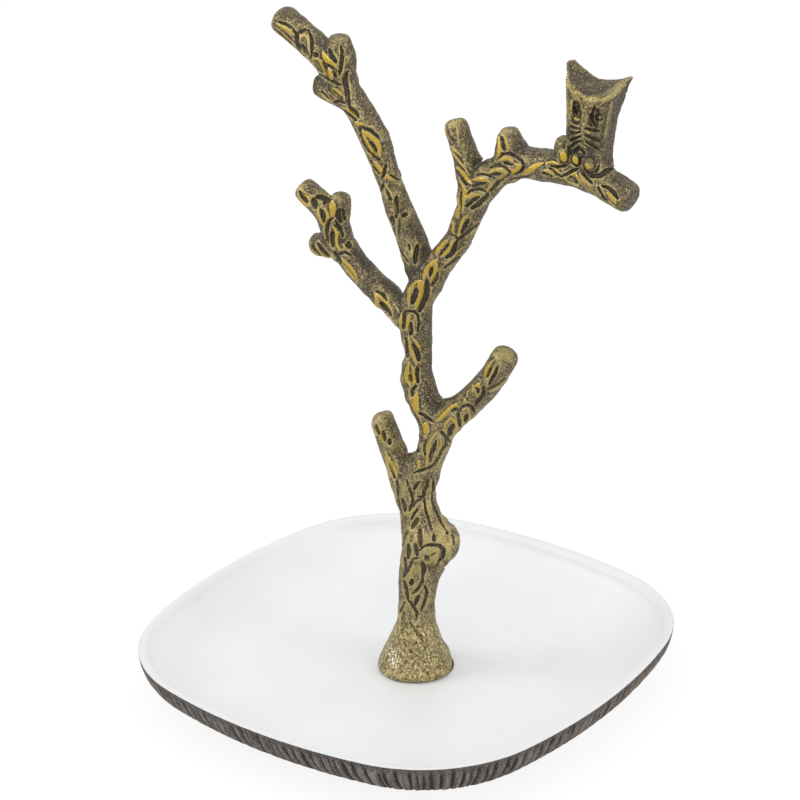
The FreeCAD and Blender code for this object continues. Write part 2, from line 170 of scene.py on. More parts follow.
class Paint(NodeTree):
    """A material, its surface shader and the patterns that feed it."""

    def __init__(self, name):
        self.material = bpy.data.materials.new(name)
        super().__init__(self.material, "Material Output")
        self.shader = self.tree.nodes["Principled BSDF"]
        self.places = self.node("ShaderNodeTexCoord", {}, {}).outputs["Object"]

    def surface(self, **inputs):
        """Sets the surface shader's own sockets. One underscore in a name stands for a space."""
        for name, item in inputs.items():
            self.feed(self.shader.inputs[name.replace("_", " ")], item)
        return self.material

    def grains(self, size, detail=3.0, rough=0.55, warp=0.0, tall=1.0):
        """Noise from 0 to 1 whose lumps are about that many millimetres wide, and tall times as high."""
        places = self.places
        if tall != 1.0:
            squeeze = {0: places, 1: (1.0, 1.0, 1.0 / tall)}
            places = self.node("ShaderNodeVectorMath", {"operation": "MULTIPLY"}, squeeze).outputs[0]
        inputs = {"Vector": places, "Scale": 1000.0 / size, "Detail": detail, "Roughness": rough}
        inputs["Distortion"] = warp
        return Value(self, self.node("ShaderNodeTexNoise", {}, inputs).outputs["Fac"])

    def cells(self, size):
        """The distance to the nearest of many scattered points, which lie about that many millimetres apart."""
        inputs = {"Vector": self.places, "Scale": 1000.0 / size}
        return Value(self, self.node("ShaderNodeTexVoronoi", {}, inputs).outputs["Distance"])

    def measure(self, name):
        """A number kept at each of the mesh's vertices."""
        return Value(self, self.node("ShaderNodeAttribute", {"attribute_name": name}, {}).outputs["Fac"])

    def along(self, axis):
        """How far the point lies along X, Y or Z, in millimetres."""
        split = self.node("ShaderNodeSeparateXYZ", {}, {"Vector": self.places})
        return Value(self, split.outputs[axis]) * 1000.0

    def colour(self, start, end, share):
        """A mix of two colours, of which share takes the second."""
        start, end = ((*item, 1.0) if isinstance(item, tuple) else item for item in (start, end))
        return self.node("ShaderNodeMix", {"data_type": "RGBA"}, {0: share, 6: start, 7: end}).outputs[2]

    def coats(self, body, coats):
        """A colour with further colours laid over it in turn, each with its share."""
        for tint, share in coats:
            body = self.colour(body, tint, share)
        return body

    def bump(self, height, depth, under=None):
        """A raised pattern: height from 0 to 1 stands for that many millimetres."""
        inputs = {"Height": height, "Distance": depth * MM, "Strength": 1.0}
        if under is not None:
            inputs["Normal"] = under
        return self.node("ShaderNodeBump", {}, inputs).outputs["Normal"]


def antique_brass():
    """Aged brass: soot in the cuts, gold on the rubbed ridges, and pits on the foot, which worms draws."""
    paint = Paint("antique_brass")
    sand = paint.grains(0.52, 2.0, 0.80)
    grit = paint.grains(1.05, 3.0, 0.75, 0.4)
    lumps = paint.grains(3.0, 3.0, 0.60, 0.4)
    clouds = paint.grains(9.0, 2.0, 0.55)
    worms = paint.grains(0.62, 2.0, 0.70, 0.9, 1.6)
    up = paint.along("Z")
    across = paint.along("X")
    foot = up.between(29.0, 21.0)
    low = up.between(122.0, 82.0)
    owl = up.between(181.5, 184.5) * across.between(50.0, 53.0)
    left_limbs = across.between(-4.0, -14.0) * up.between(98.0, 108.0)
    fray = sand * 0.5 + grit * 0.5 - 0.5
    bare_groove, bare_gilt = paint.measure("groove"), paint.measure("gilt")
    groove = bare_groove + fray * 0.50 + (lumps - 0.5) * 0.75
    gilt = bare_gilt + fray * 0.8
    shade = paint.measure("shade") + fray * 2.0
    polish_and_highlight = paint.measure("polish_and_highlight") + fray * 1.6
    crest = paint.measure("crest")
    basin = paint.measure("basin")
    # Darker where the limbs' plain sides lie far from any carving: unrubbed patina, and painted shade on the limbs'
    # sides.
    plain_sides_patina_and_shade = bare_groove.least(bare_gilt).between(0.9, 2.7) * (1.0 - foot) * (1.0 - owl * 0.6)
    in_groove = groove.between(0.16, -0.44)
    # A pale band beside each cut: rubbed brass on the cut's shoulders, and a painted highlight on its bevel.
    beside = groove.between(0.16, 0.30) * groove.between(0.68, 0.42) * lumps.between(0.40, 0.60)
    on_gilt = gilt.between(0.10, -0.12)
    on_polish_and_highlight = polish_and_highlight.between(0.4, -0.7)
    brow = on_polish_and_highlight * owl
    # glint: the painted highlight on the foot's lit left side.
    glint = on_polish_and_highlight * up.between(20.0, 17.5)

    # Where the metal is rubbed, and under the painted highlights, its grain is calmer.
    calm = (on_gilt * 0.6 + on_polish_and_highlight * (0.5 - owl * 0.5) + lumps.between(0.50, 0.62) * 0.25).clamped()
    calm = (calm + low * 0.15 + owl * (0.38 - on_polish_and_highlight * 0.3) + foot * 0.25).clamped()
    dots = sand.between(0.39, 0.61)
    coarse = 0.36 - owl * 0.36
    grains = dots * (1.0 - coarse) + grit.between(0.40, 0.60) * coarse
    grains = grains * (1.0 - calm) + calm * 0.5
    level = grains * 0.74 + lumps.between(0.36, 0.66) * 0.15 + clouds.between(0.35, 0.65) * 0.15
    level = level + low * 0.15 + crest * 0.30 + basin * 0.26 - 0.07
    level = level - left_limbs * 0.08 - plain_sides_patina_and_shade * (0.19 - low * 0.08)
    flecks = sand.between(0.57, 0.65) * (0.42 + low * 0.28) * (1.0 - calm * 0.7)
    edges = worms.between(0.54, 0.61) * foot

    dull = paint.colour((0.031, 0.024, 0.014), (0.130, 0.103, 0.062), level.between(0.04, 0.44))
    body = paint.coats(dull, (
        ((0.392, 0.318, 0.146), level.between(0.38, 0.98)),
        # patina and painted shade on the limbs' plain sides
        ((0.100, 0.084, 0.055), plain_sides_patina_and_shade * (0.30 - low * 0.15)),
        ((0.80, 0.67, 0.38), flecks.clamped()),
        # rubbed brass and a painted bevel highlight beside the cuts
        ((0.56, 0.46, 0.21), beside * (0.20 + grains * 0.60)),
        # polished brass and painted highlights: light reflections on limb edges and a glint in the owl's eye
        ((0.49, 0.390, 0.135), on_polish_and_highlight * (0.15 + grains * 0.80) * (1.0 - foot * 0.8)),
        ((0.115, 0.085, 0.032), sand.between(0.49, 0.41) * brow * 0.75),
        ((0.86, 0.74, 0.40), sand.between(0.56, 0.64) * brow * 0.75),
        ((0.56, 0.45, 0.17), on_gilt * (0.35 + grains * 0.60)),
        ((0.530, 0.345, 0.034), gilt.between(-0.02, -0.24) * (0.70 + grains * 0.26)),
        # painted shade in the crotches, under the limbs and in the owl's eye sockets and chest
        ((0.036, 0.031, 0.026), shade.between(0.9, -0.9) * (1.0 - on_gilt) * 0.62),
        ((0.046, 0.035, 0.022), in_groove * (1.0 - on_gilt * 0.5) * (0.94 - dots * 0.26)),
        ((0.45, 0.360, 0.140), foot * 0.34),
        ((0.040, 0.031, 0.017), worms.between(0.44, 0.38) * foot * 0.96),
        # Bright worm edges on the foot, brighter under the painted highlight. Then a near-white painted highlight on
        # the foot's lit left side.
        ((0.92, 0.80, 0.47), edges * (0.50 + glint * 0.50)),
        ((0.97, 0.93, 0.80), worms.between(0.51, 0.60) * on_polish_and_highlight * up.between(19.5, 17.5) * 0.85),
    ))
    rough = 0.46 - on_gilt * 0.08 + in_groove * 0.26 - flecks * 0.10 - edges * 0.15
    metal = level.between(0.10, 0.60) * 0.50 + 0.42
    metal = (metal + on_gilt * 0.3 - in_groove * 0.30).clamped()
    relief = paint.bump(groove.between(0.30, -0.25) * -0.8 + gilt.between(0.30, -0.30) * 0.3, 0.28)
    relief = paint.bump(lumps * 0.6 + worms * foot * 0.8, 0.40, relief)
    relief = paint.bump((sand * 0.55 + grit * 0.6) * (1.0 - calm * 0.5), 0.30, relief)
    return paint.surface(Base_Color=body, Roughness=rough, Metallic=metal, Normal=relief)


def dark_cast():
    """Dark bronze. Run and down say how far round the wall and how far down it a point lies."""
    paint = Paint("dark_cast")
    groove = paint.measure("groove")
    run = paint.measure("run")
    down = paint.measure("down")
    strip = paint.node("ShaderNodeCombineXYZ", {}, {"X": run, "Y": down * 2.4, "Z": 0.0}).outputs[0]
    grain = {"Vector": strip, "Scale": 1.35, "Detail": 4.0, "Roughness": 0.75}
    streaks = Value(paint, paint.node("ShaderNodeTexNoise", {}, grain).outputs["Fac"])
    sand = paint.grains(0.60, 2.0, 0.75)
    lumps = paint.grains(2.4, 3.0, 0.55)
    in_groove = (groove + (sand - 0.5) * 0.5 + (streaks - 0.5) * 0.5).between(0.14, -0.40)
    tone = streaks.between(0.38, 0.62) * 0.50 + sand.between(0.40, 0.60) * 0.28 + groove.between(0.1, 0.9) * 0.22
    body = paint.coats(paint.colour((0.080, 0.069, 0.064), (0.330, 0.275, 0.228), tone), (
        ((0.46, 0.38, 0.30), sand.between(0.55, 0.64) * streaks.between(0.42, 0.58) * 0.7),
        ((0.044, 0.042, 0.045), down.between(0.13, 0.03) * (0.75 - sand.between(0.45, 0.60) * 0.3)),
        ((0.034, 0.032, 0.036), in_groove * 0.92),
    ))
    rough = 0.55 + in_groove * 0.3 + sand * 0.08
    relief = paint.bump(streaks, 0.26)
    relief = paint.bump(sand * 0.7 + lumps * 0.3, 0.20, relief)
    return paint.surface(Base_Color=body, Roughness=rough, Metallic=0.30, Normal=relief)


def white_enamel():
    paint = Paint("white_enamel")
    clouds = paint.grains(26.0, 2.0, 0.5)
    waves = paint.grains(9.0, 1.0, 0.4)
    specks = paint.cells(11.0).between(0.030, 0.018) * paint.grains(24.0).between(0.56, 0.60)
    edge = paint.measure("edge")
    body = paint.colour((0.815, 0.822, 0.836), (0.840, 0.845, 0.853), clouds.between(0.35, 0.65))
    # the lip's grey: thin enamel at the edge, and painted shade that dims the lip
    body = paint.coats(body, (((0.42, 0.40, 0.38), specks * 0.45), ((0.735, 0.740, 0.750), edge)))
    relief = paint.bump(waves, 0.06)
    rough = 0.40 + clouds * 0.10
    return paint.surface(Base_Color=body, Roughness=rough, Coat_Weight=0.06, Coat_Roughness=0.10, Normal=relief)


def black_rubber():
    paint = Paint("black_rubber")
    grit = paint.grains(0.5, 2.0, 0.5)
    body = paint.colour((0.012, 0.012, 0.013), (0.03, 0.03, 0.032), grit)
    return paint.surface(Base_Color=body, Roughness=0.55 + grit * 0.2, Normal=paint.bump(grit, 0.03))


def brushed_steel():
    paint = Paint("brushed_steel")
    grit = paint.grains(0.3, 3.0, 0.6)
    body = paint.colour((0.45, 0.45, 0.46), (0.62, 0.62, 0.62), grit)
    return paint.surface(Base_Color=body, Roughness=0.28 + grit * 0.18, Metallic=1.0, Normal=paint.bump(grit, 0.02))


def dark_felt():
    paint = Paint("felt")
    fibres = paint.grains(0.22, 4.0, 0.7, 1.5)
    tufts = paint.grains(1.3, 3.0, 0.6)
    nap = (fibres * 0.6 + tufts * 0.4).between(0.35, 0.68)
    body = paint.colour((0.030, 0.029, 0.028), (0.095, 0.092, 0.088), nap)
    return paint.surface(Base_Color=body, Roughness=0.95, Normal=paint.bump(fibres * 0.6 + tufts * 0.5, 0.22))


# ---- meshes

def add_piece(name, bm, material, nodes):
    """A finished piece in place of its CAD nodes."""
    piece = mesh_object(name, bm)
    piece.data.materials.append(material)
    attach(piece, "root")
    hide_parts(*nodes)
    return piece


def keep_measure(piece, name, values):
    """Keeps a number at each vertex, for the materials."""
    measure = piece.data.attributes.new(name, "FLOAT", "POINT")
    measure.data.foreach_set("value", np.asarray(values, dtype=np.float32))


def numbers_of(items, name, width=3, kind=float):
    """One property of a mesh's vertices or edges, a row for each."""
    numbers = np.empty(len(items) * width, dtype=kind)
    items.foreach_get(name, numbers)
    return numbers.reshape(-1, width)


def swept(rings, **measures):
    """A closed skin through rings of points, each an array of places in millimetres. The last ring joins the first.

    A measure holds one array for each ring, whose numbers are kept at the vertices under the measure's name.
    """
    bm = bmesh.new()
    layers = [(bm.verts.layers.float.new(name), rows) for name, rows in measures.items()]
    count = len(rings[0])
    first = bmesh.ops.create_circle(bm, segments=count, radius=1.0)["verts"]
    for index, (vert, place) in enumerate(zip(first, rings[0])):
        vert.co = Vector(place) * MM
        for layer, rows in layers:
            vert[layer] = rows[0][index]
    front = list(first)
    edges = list(bm.edges)
    order = {vert: index for index, vert in enumerate(first)}
    for number, ring in enumerate(rings[1:], start=1):
        made = bmesh.ops.extrude_edge_only(bm, edges=edges)["geom"]
        fresh = {item for item in made if isinstance(item, bmesh.types.BMVert)}
        edges = [item for item in made if isinstance(item, bmesh.types.BMEdge)]
        edges = [edge for edge in edges if edge.verts[0] in fresh and edge.verts[1] in fresh]
        following = []
        for index, (vert, place) in enumerate(zip(front, ring)):
            ahead = next(edge.other_vert(vert) for edge in vert.link_edges if edge.other_vert(vert) in fresh)
            ahead.co = Vector(place) * MM
            for layer, rows in layers:
                ahead[layer] = rows[number][index]
            following.append(ahead)
            order[ahead] = len(order)
        front = following

    def place_in_rings(item):
        numbers = [vert.index for vert in item.verts]
        return max(numbers) * len(order) + min(numbers)

    # The operator's own order differs from run to run, so the parts are put in the order of the rings.
    bm.verts.sort(key=order.get)
    bm.verts.index_update()
    bm.edges.sort(key=place_in_rings)
    bm.faces.sort(key=place_in_rings)
    bmesh.ops.remove_doubles(bm, verts=bm.verts, dist=1e-7)
    bmesh.ops.recalc_face_normals(bm, faces=bm.faces)
    for face in bm.faces:
        face.smooth = True
    return bm


def sharpen(bm, degrees):
    """Marks the edges that turn by more than so many degrees as sharp."""
    limit = math.radians(degrees)
    for edge in bm.edges:
        if len(edge.link_faces) == 2 and edge.calc_face_angle(0.0) > limit:
            edge.smooth = False


# ---- the dish

# The dish's outline: four long arcs, whose centres lie behind the middle, and four corner arcs.
SIDE_RADIUS = 174.9
SIDE_BEHIND = 99.9
CORNER_RADIUS = 44.4
CORNER_PLACE = 27.64
SIDE_SWING = math.radians(12.23)
CORNER_SWING = math.pi / 2 - 2 * SIDE_SWING
SIDE_RUN = SIDE_RADIUS * 2 * SIDE_SWING
CORNER_RUN = CORNER_RADIUS * CORNER_SWING
ROUND_RUN = 4 * (SIDE_RUN + CORNER_RUN)


def round_turns(count):
    """The outline's direction at evenly spaced points round the rim, and how far round each point lies."""
    run = np.arange(count) * ROUND_RUN / count
    quarter, rest = np.divmod(run, SIDE_RUN + CORNER_RUN)
    on_side = rest < SIDE_RUN
    side_turn = -SIDE_SWING + rest / SIDE_RADIUS
    corner_turn = SIDE_SWING + (rest - SIDE_RUN) / CORNER_RADIUS
    return quarter * math.pi / 2 + np.where(on_side, side_turn, corner_turn), run, on_side, quarter


def outline(turns, inset, z):
    """The dish's outline, moved inwards by inset, at height z. Inset and z may differ from point to point."""
    turn, _, on_side, quarter = turns
    axis = quarter * math.pi / 2
    side_x, side_y = -SIDE_BEHIND * np.cos(axis), -SIDE_BEHIND * np.sin(axis)
    slant = axis + math.pi / 4
    corner_x = CORNER_PLACE * math.sqrt(2) * np.cos(slant)
    corner_y = CORNER_PLACE * math.sqrt(2) * np.sin(slant)
    radius = np.where(on_side, SIDE_RADIUS, CORNER_RADIUS) - inset
    x = np.where(on_side, side_x, corner_x) + radius * np.cos(turn)
    y = np.where(on_side, side_y, corner_y) + radius * np.sin(turn)
    return np.stack((x, y, np.broadcast_to(z, x.shape)), axis=1)


def circle(turn, across, back, radius, z):
    """Points at height z in the directions of turn, round a centre that lies across and back. Radius may vary."""
    x, y = across + radius * np.cos(turn), back + radius * np.sin(turn)
    return np.stack((x, y, np.full(len(turn), float(z))), axis=1)


def blend(start, end, shares):
    """The rings that lie at each share of the way from one ring to another."""
    return [start + (end - start) * share for share in shares]


SCREW_X = 3.1
RIM_TOP = 17.5
CAST_TOP = 17.2
COAT_FLOOR = 5.5
CAST_FLOOR = 4.7
CAST_BASE = 1.5
WALL_DROP = CAST_TOP - CAST_BASE
COAT_DROP = CAST_TOP - CAST_FLOOR
WALL_INSET = 24.0
BASE_INSET = 25.0
FLOOR_INSET = 29.0
LEDGE_INSET = 2.2
LIP_INSET = 3.0
BORE_RADIUS = 2.75
SINK_RADIUS = 4.6
SINK_MOUTH = 4.85
SINK_HEIGHT = 1.8
WALL_STEPS = 30
HOLLOW_STEPS = 26
FRONT_CORNER_RUN = 3.5 * (SIDE_RUN + CORNER_RUN) + SIDE_RUN / 2
LEAN = 3.0
FLUTE_GAPS = (1.8, 4.0)
FLUTE_HALVES = (0.40, 0.70)
STEEPEST = 60.0


def flutes(turns):
    """How far each groove of the bark pattern cuts in, for every point of the wall from rim to foot.

    The second result is the signed distance to the nearest groove's edge.
    """
    rng = np.random.default_rng(41)
    run = turns[1]
    down = np.linspace(0.0, 1.0, WALL_STEPS + 1)
    depth = np.zeros((len(down), len(run)))
    signed = np.full((len(down), len(run)), 2.0)

    def cut(centre, half, deep, softness):
        off = np.abs((run[None, :] - centre[:, None] + ROUND_RUN / 2) % ROUND_RUN - ROUND_RUN / 2)
        edge = off - half[:, None]
        walls = 1.0 + np.exp(np.minimum(edge / softness, STEEPEST))
        np.maximum(depth, deep[:, None] / walls, out=depth)
        np.minimum(signed, edge, out=signed)

    shallow = 1.0 - 0.72 * np.clip((down - 0.25) / 0.30, 0.0, 1.0)
    place = 0.0
    while place < ROUND_RUN - 1.5:
        gap = rng.uniform(*FLUTE_GAPS)
        phase = rng.uniform(0.0, 6.28)
        lean = LEAN * math.sin((FRONT_CORNER_RUN - place) * 2 * math.pi / ROUND_RUN) * (1.0 - (1.0 - down) ** 2.5)
        centre = place + lean + rng.normal(0.0, 0.5) * (down - 0.3)
        centre = centre + rng.uniform(0.1, 0.4) * np.sin(3.6 * down + phase)
        start = rng.uniform(0.0, 0.05)
        opening = np.clip((down - start) / 0.08, 0.0, 1.0) ** 0.6
        half = rng.uniform(*FLUTE_HALVES) * min(1.5, gap / 2.2) * (0.8 + 0.3 * np.sin(2.4 * down + phase) ** 2)
        half = half * opening - 0.05
        cut(centre, half, rng.uniform(0.65, 1.0) * opening * shallow, 0.15)
        if rng.random() < 0.6:
            start, length = rng.uniform(-0.1, 0.6), rng.uniform(0.25, 0.6)
            level = np.clip(1.0 - np.abs((down - start - length / 2) / (length / 2)), 0.0, 1.0) ** 0.5
            beside = centre + gap * rng.uniform(0.38, 0.62)
            cut(beside, 0.24 * level - 0.3 * (1.0 - level), 0.35 * level * (down > 0.04), 0.12)
        place += gap
    return depth, signed


def round_screw(turn, radius, z):
    return circle(turn, SCREW_X, 0, radius, z)


def hollow(turns):
    """Rings from the bore over the cast floor and up the casting's hollow. The enamel's underside shares them."""
    top = round_screw(turns[0], BORE_RADIUS, CAST_FLOOR)
    rings = [top, *blend(top, outline(turns, FLOOR_INSET, CAST_FLOOR), (0.3, 0.6, 1.0))]
    for step in range(11, -1, -1):
        slope = step / 12 * math.pi / 2
        inset = LEDGE_INSET + (FLOOR_INSET - LEDGE_INSET) * (1 - math.cos(slope))
        rings.append(outline(turns, inset, CAST_TOP - COAT_DROP * math.sin(slope)))
    return rings


def dish_casting(material):
    turns = round_turns(1264)
    depth, signed = flutes(turns)
    rings, groove, run, down = [], [], [], []

    def lay(ring, edge=2.0, drop=1.0):
        rings.append(ring)
        groove.append(np.broadcast_to(edge, len(ring)))
        run.append(turns[1])
        down.append(np.full(len(ring), drop))

    for step in range(WALL_STEPS + 1):
        slope = step / WALL_STEPS * math.pi / 2
        fade = min(1.0, (WALL_STEPS - step) / 4)
        cut = depth[step] * fade
        inset = WALL_INSET * (1 - math.cos(slope)) + cut * math.cos(slope * 0.8) + 0.05
        height = CAST_TOP - WALL_DROP * math.sin(slope) + cut * math.sin(slope * 0.8)
        edge = signed[step] + (1 - fade) * 0.6
        lay(outline(turns, inset, np.maximum(height, CAST_BASE)), edge, step / WALL_STEPS)

    flat = outline(turns, BASE_INSET, CAST_BASE)
    sink = ((SINK_MOUTH, CAST_BASE), (SINK_MOUTH, SINK_HEIGHT), (SINK_RADIUS, SINK_HEIGHT), (BORE_RADIUS, 3.65))
    mouth, *cone = [round_screw(turns[0], radius, z) for radius, z in sink]
    bottom = [flat, *blend(flat, mouth, (0.2, 0.4, 0.6, 0.8, 1.0)), *cone]
    for ring in (*bottom, *hollow(turns), outline(turns, 1.2, CAST_TOP)):
        lay(ring)
    lay(rings[0], groove[0], down[0][0])
    bm = swept(rings, groove=groove, run=run, down=down)
    sharpen(bm, 60)
    add_piece("dish", bm, material, ["dish_casting"])


# The enamel's lip over the rim, as insets and heights.
LIP_PROFILE = (
    (0.42, 17.20), (0.16, 17.21), (0.10, 17.24), (0.12, 17.32), (0.26, 17.41), (0.50, 17.47),
    (0.90, 17.50), (1.40, 17.48), (1.95, 17.36), (2.45, 17.12), (2.85, 16.74), (3.16, 16.24), (3.38, 15.70),
)


def enamel_lining(material):
    turns = round_turns(948)
    run = turns[1]
    nick = np.array([noise.noise(Vector((value * 0.55, 3.1, 0.0))) for value in run])
    nick += 0.6 * np.array([noise.noise(Vector((value * 1.7, 9.4, 0.0))) for value in run])
    rings, marks = [], []
    for number, (inset, height) in enumerate(LIP_PROFILE):
        level = max(0.0, 1.0 - abs(number - 1.5) / 3.0)
        rings.append(outline(turns, inset + np.clip(0.17 * nick * level, 0, 0.12), height))
        # Greyer towards the lip's outer edge: thin enamel there, and painted shade that dims the lip.
        marks.append(run * 0 + 1.0 - number / (len(LIP_PROFILE) - 1))
    reach = FLOOR_INSET - LIP_INSET
    first = math.acos(1 - 0.5 / reach)
    for step in range(HOLLOW_STEPS + 1):
        slope = first + (math.pi / 2 - first) * step / HOLLOW_STEPS
        height = RIM_TOP - (RIM_TOP - COAT_FLOOR) * math.sin(slope)
        rings.append(outline(turns, LIP_INSET + reach * (1 - math.cos(slope)), height))
    hole = round_screw(turns[0], BORE_RADIUS, COAT_FLOOR)
    rings += [*blend(rings[-1], hole, (0.1, 0.25, 0.45, 0.65, 0.85, 1.0)), *hollow(turns)]
    marks += [run * 0] * (len(rings) - len(marks))
    rings.append(rings[0])
    marks.append(marks[0])
    bm = swept(rings, edge=marks)
    sharpen(bm, 55)
    add_piece("enamel", bm, material, ["enamel_lining"])


DISC_POINTS = 96


def disc_piece(name, material, node, across, back, low, high, radius, hole=0.0, round_edge=0.4, fuzz=0.0):
    """A disc or washer with rounded edges, ragged by fuzz."""
    turn = np.arange(DISC_POINTS) * 2 * math.pi / DISC_POINTS
    rng = np.random.default_rng(len(name) * 7 + int(across))
    profile = []
    for step in range(7):
        slope = -math.pi / 2 + step * math.pi / 6
        reach = min(round_edge, (high - low) / 2)
        middle = low + reach if step < 3.5 else high - reach
        profile.append((radius - reach + reach * math.cos(slope), middle + reach * math.sin(slope)))
    inward = (radius * 0.7 + hole * 0.3, radius * 0.35 + hole * 0.65, max(hole, 0.05))
    profile += [(wide, high) for wide in inward] + [(wide, low) for wide in reversed(inward)]
    rings = []
    for wide, up in profile:
        wobble = fuzz * (rng.random(DISC_POINTS) - 1.0) * (1.0 if wide > radius * 0.9 else 0.0)
        rings.append(circle(turn, across, back, wide + wobble, up))
    rings.append(rings[0])
    add_piece(name, swept(rings), material, [node])


THREAD_PITCH = 0.8
THREAD_STEP = 0.125


def screw(material):
    """The countersunk screw: hexagon socket, cone, and a thread that winds up the shank."""
    turn = np.arange(60) * 2 * math.pi / 60
    hexagon = 1.5 / np.cos((turn + math.pi / 6) % (math.pi / 3) - math.pi / 6)
    socket = ((hexagon * 0.05, 2.9), (hexagon, 2.9), (hexagon, 1.65), (hexagon * 1.08, CAST_BASE))
    head = ((4.45, CAST_BASE), (SINK_RADIUS, 1.6), (SINK_RADIUS, SINK_HEIGHT), (2.6, 3.8))
    rings = [round_screw(turn, radius, z) for radius, z in socket + head]
    for step in range(106):
        z = 4.0 + step * THREAD_STEP
        phase = (z / THREAD_PITCH - turn / (2 * math.pi)) % 1.0
        tooth = 1.0 - np.abs(phase * 2 - 1.0)
        rings.append(round_screw(turn, 2.06 + 0.40 * np.clip(tooth * 1.15, 0, 1), z))
    rings += [round_screw(turn, radius, z) for radius, z in ((2.0, 17.4), (0.05, 17.5), (0.05, 17.5))]
    bm = swept(rings)
    bmesh.ops.holes_fill(bm, edges=bm.edges, sides=0)
    bmesh.ops.recalc_face_normals(bm, faces=bm.faces)
    sharpen(bm, 35)
    add_piece("screw", bm, material, ["fixing_screw"])
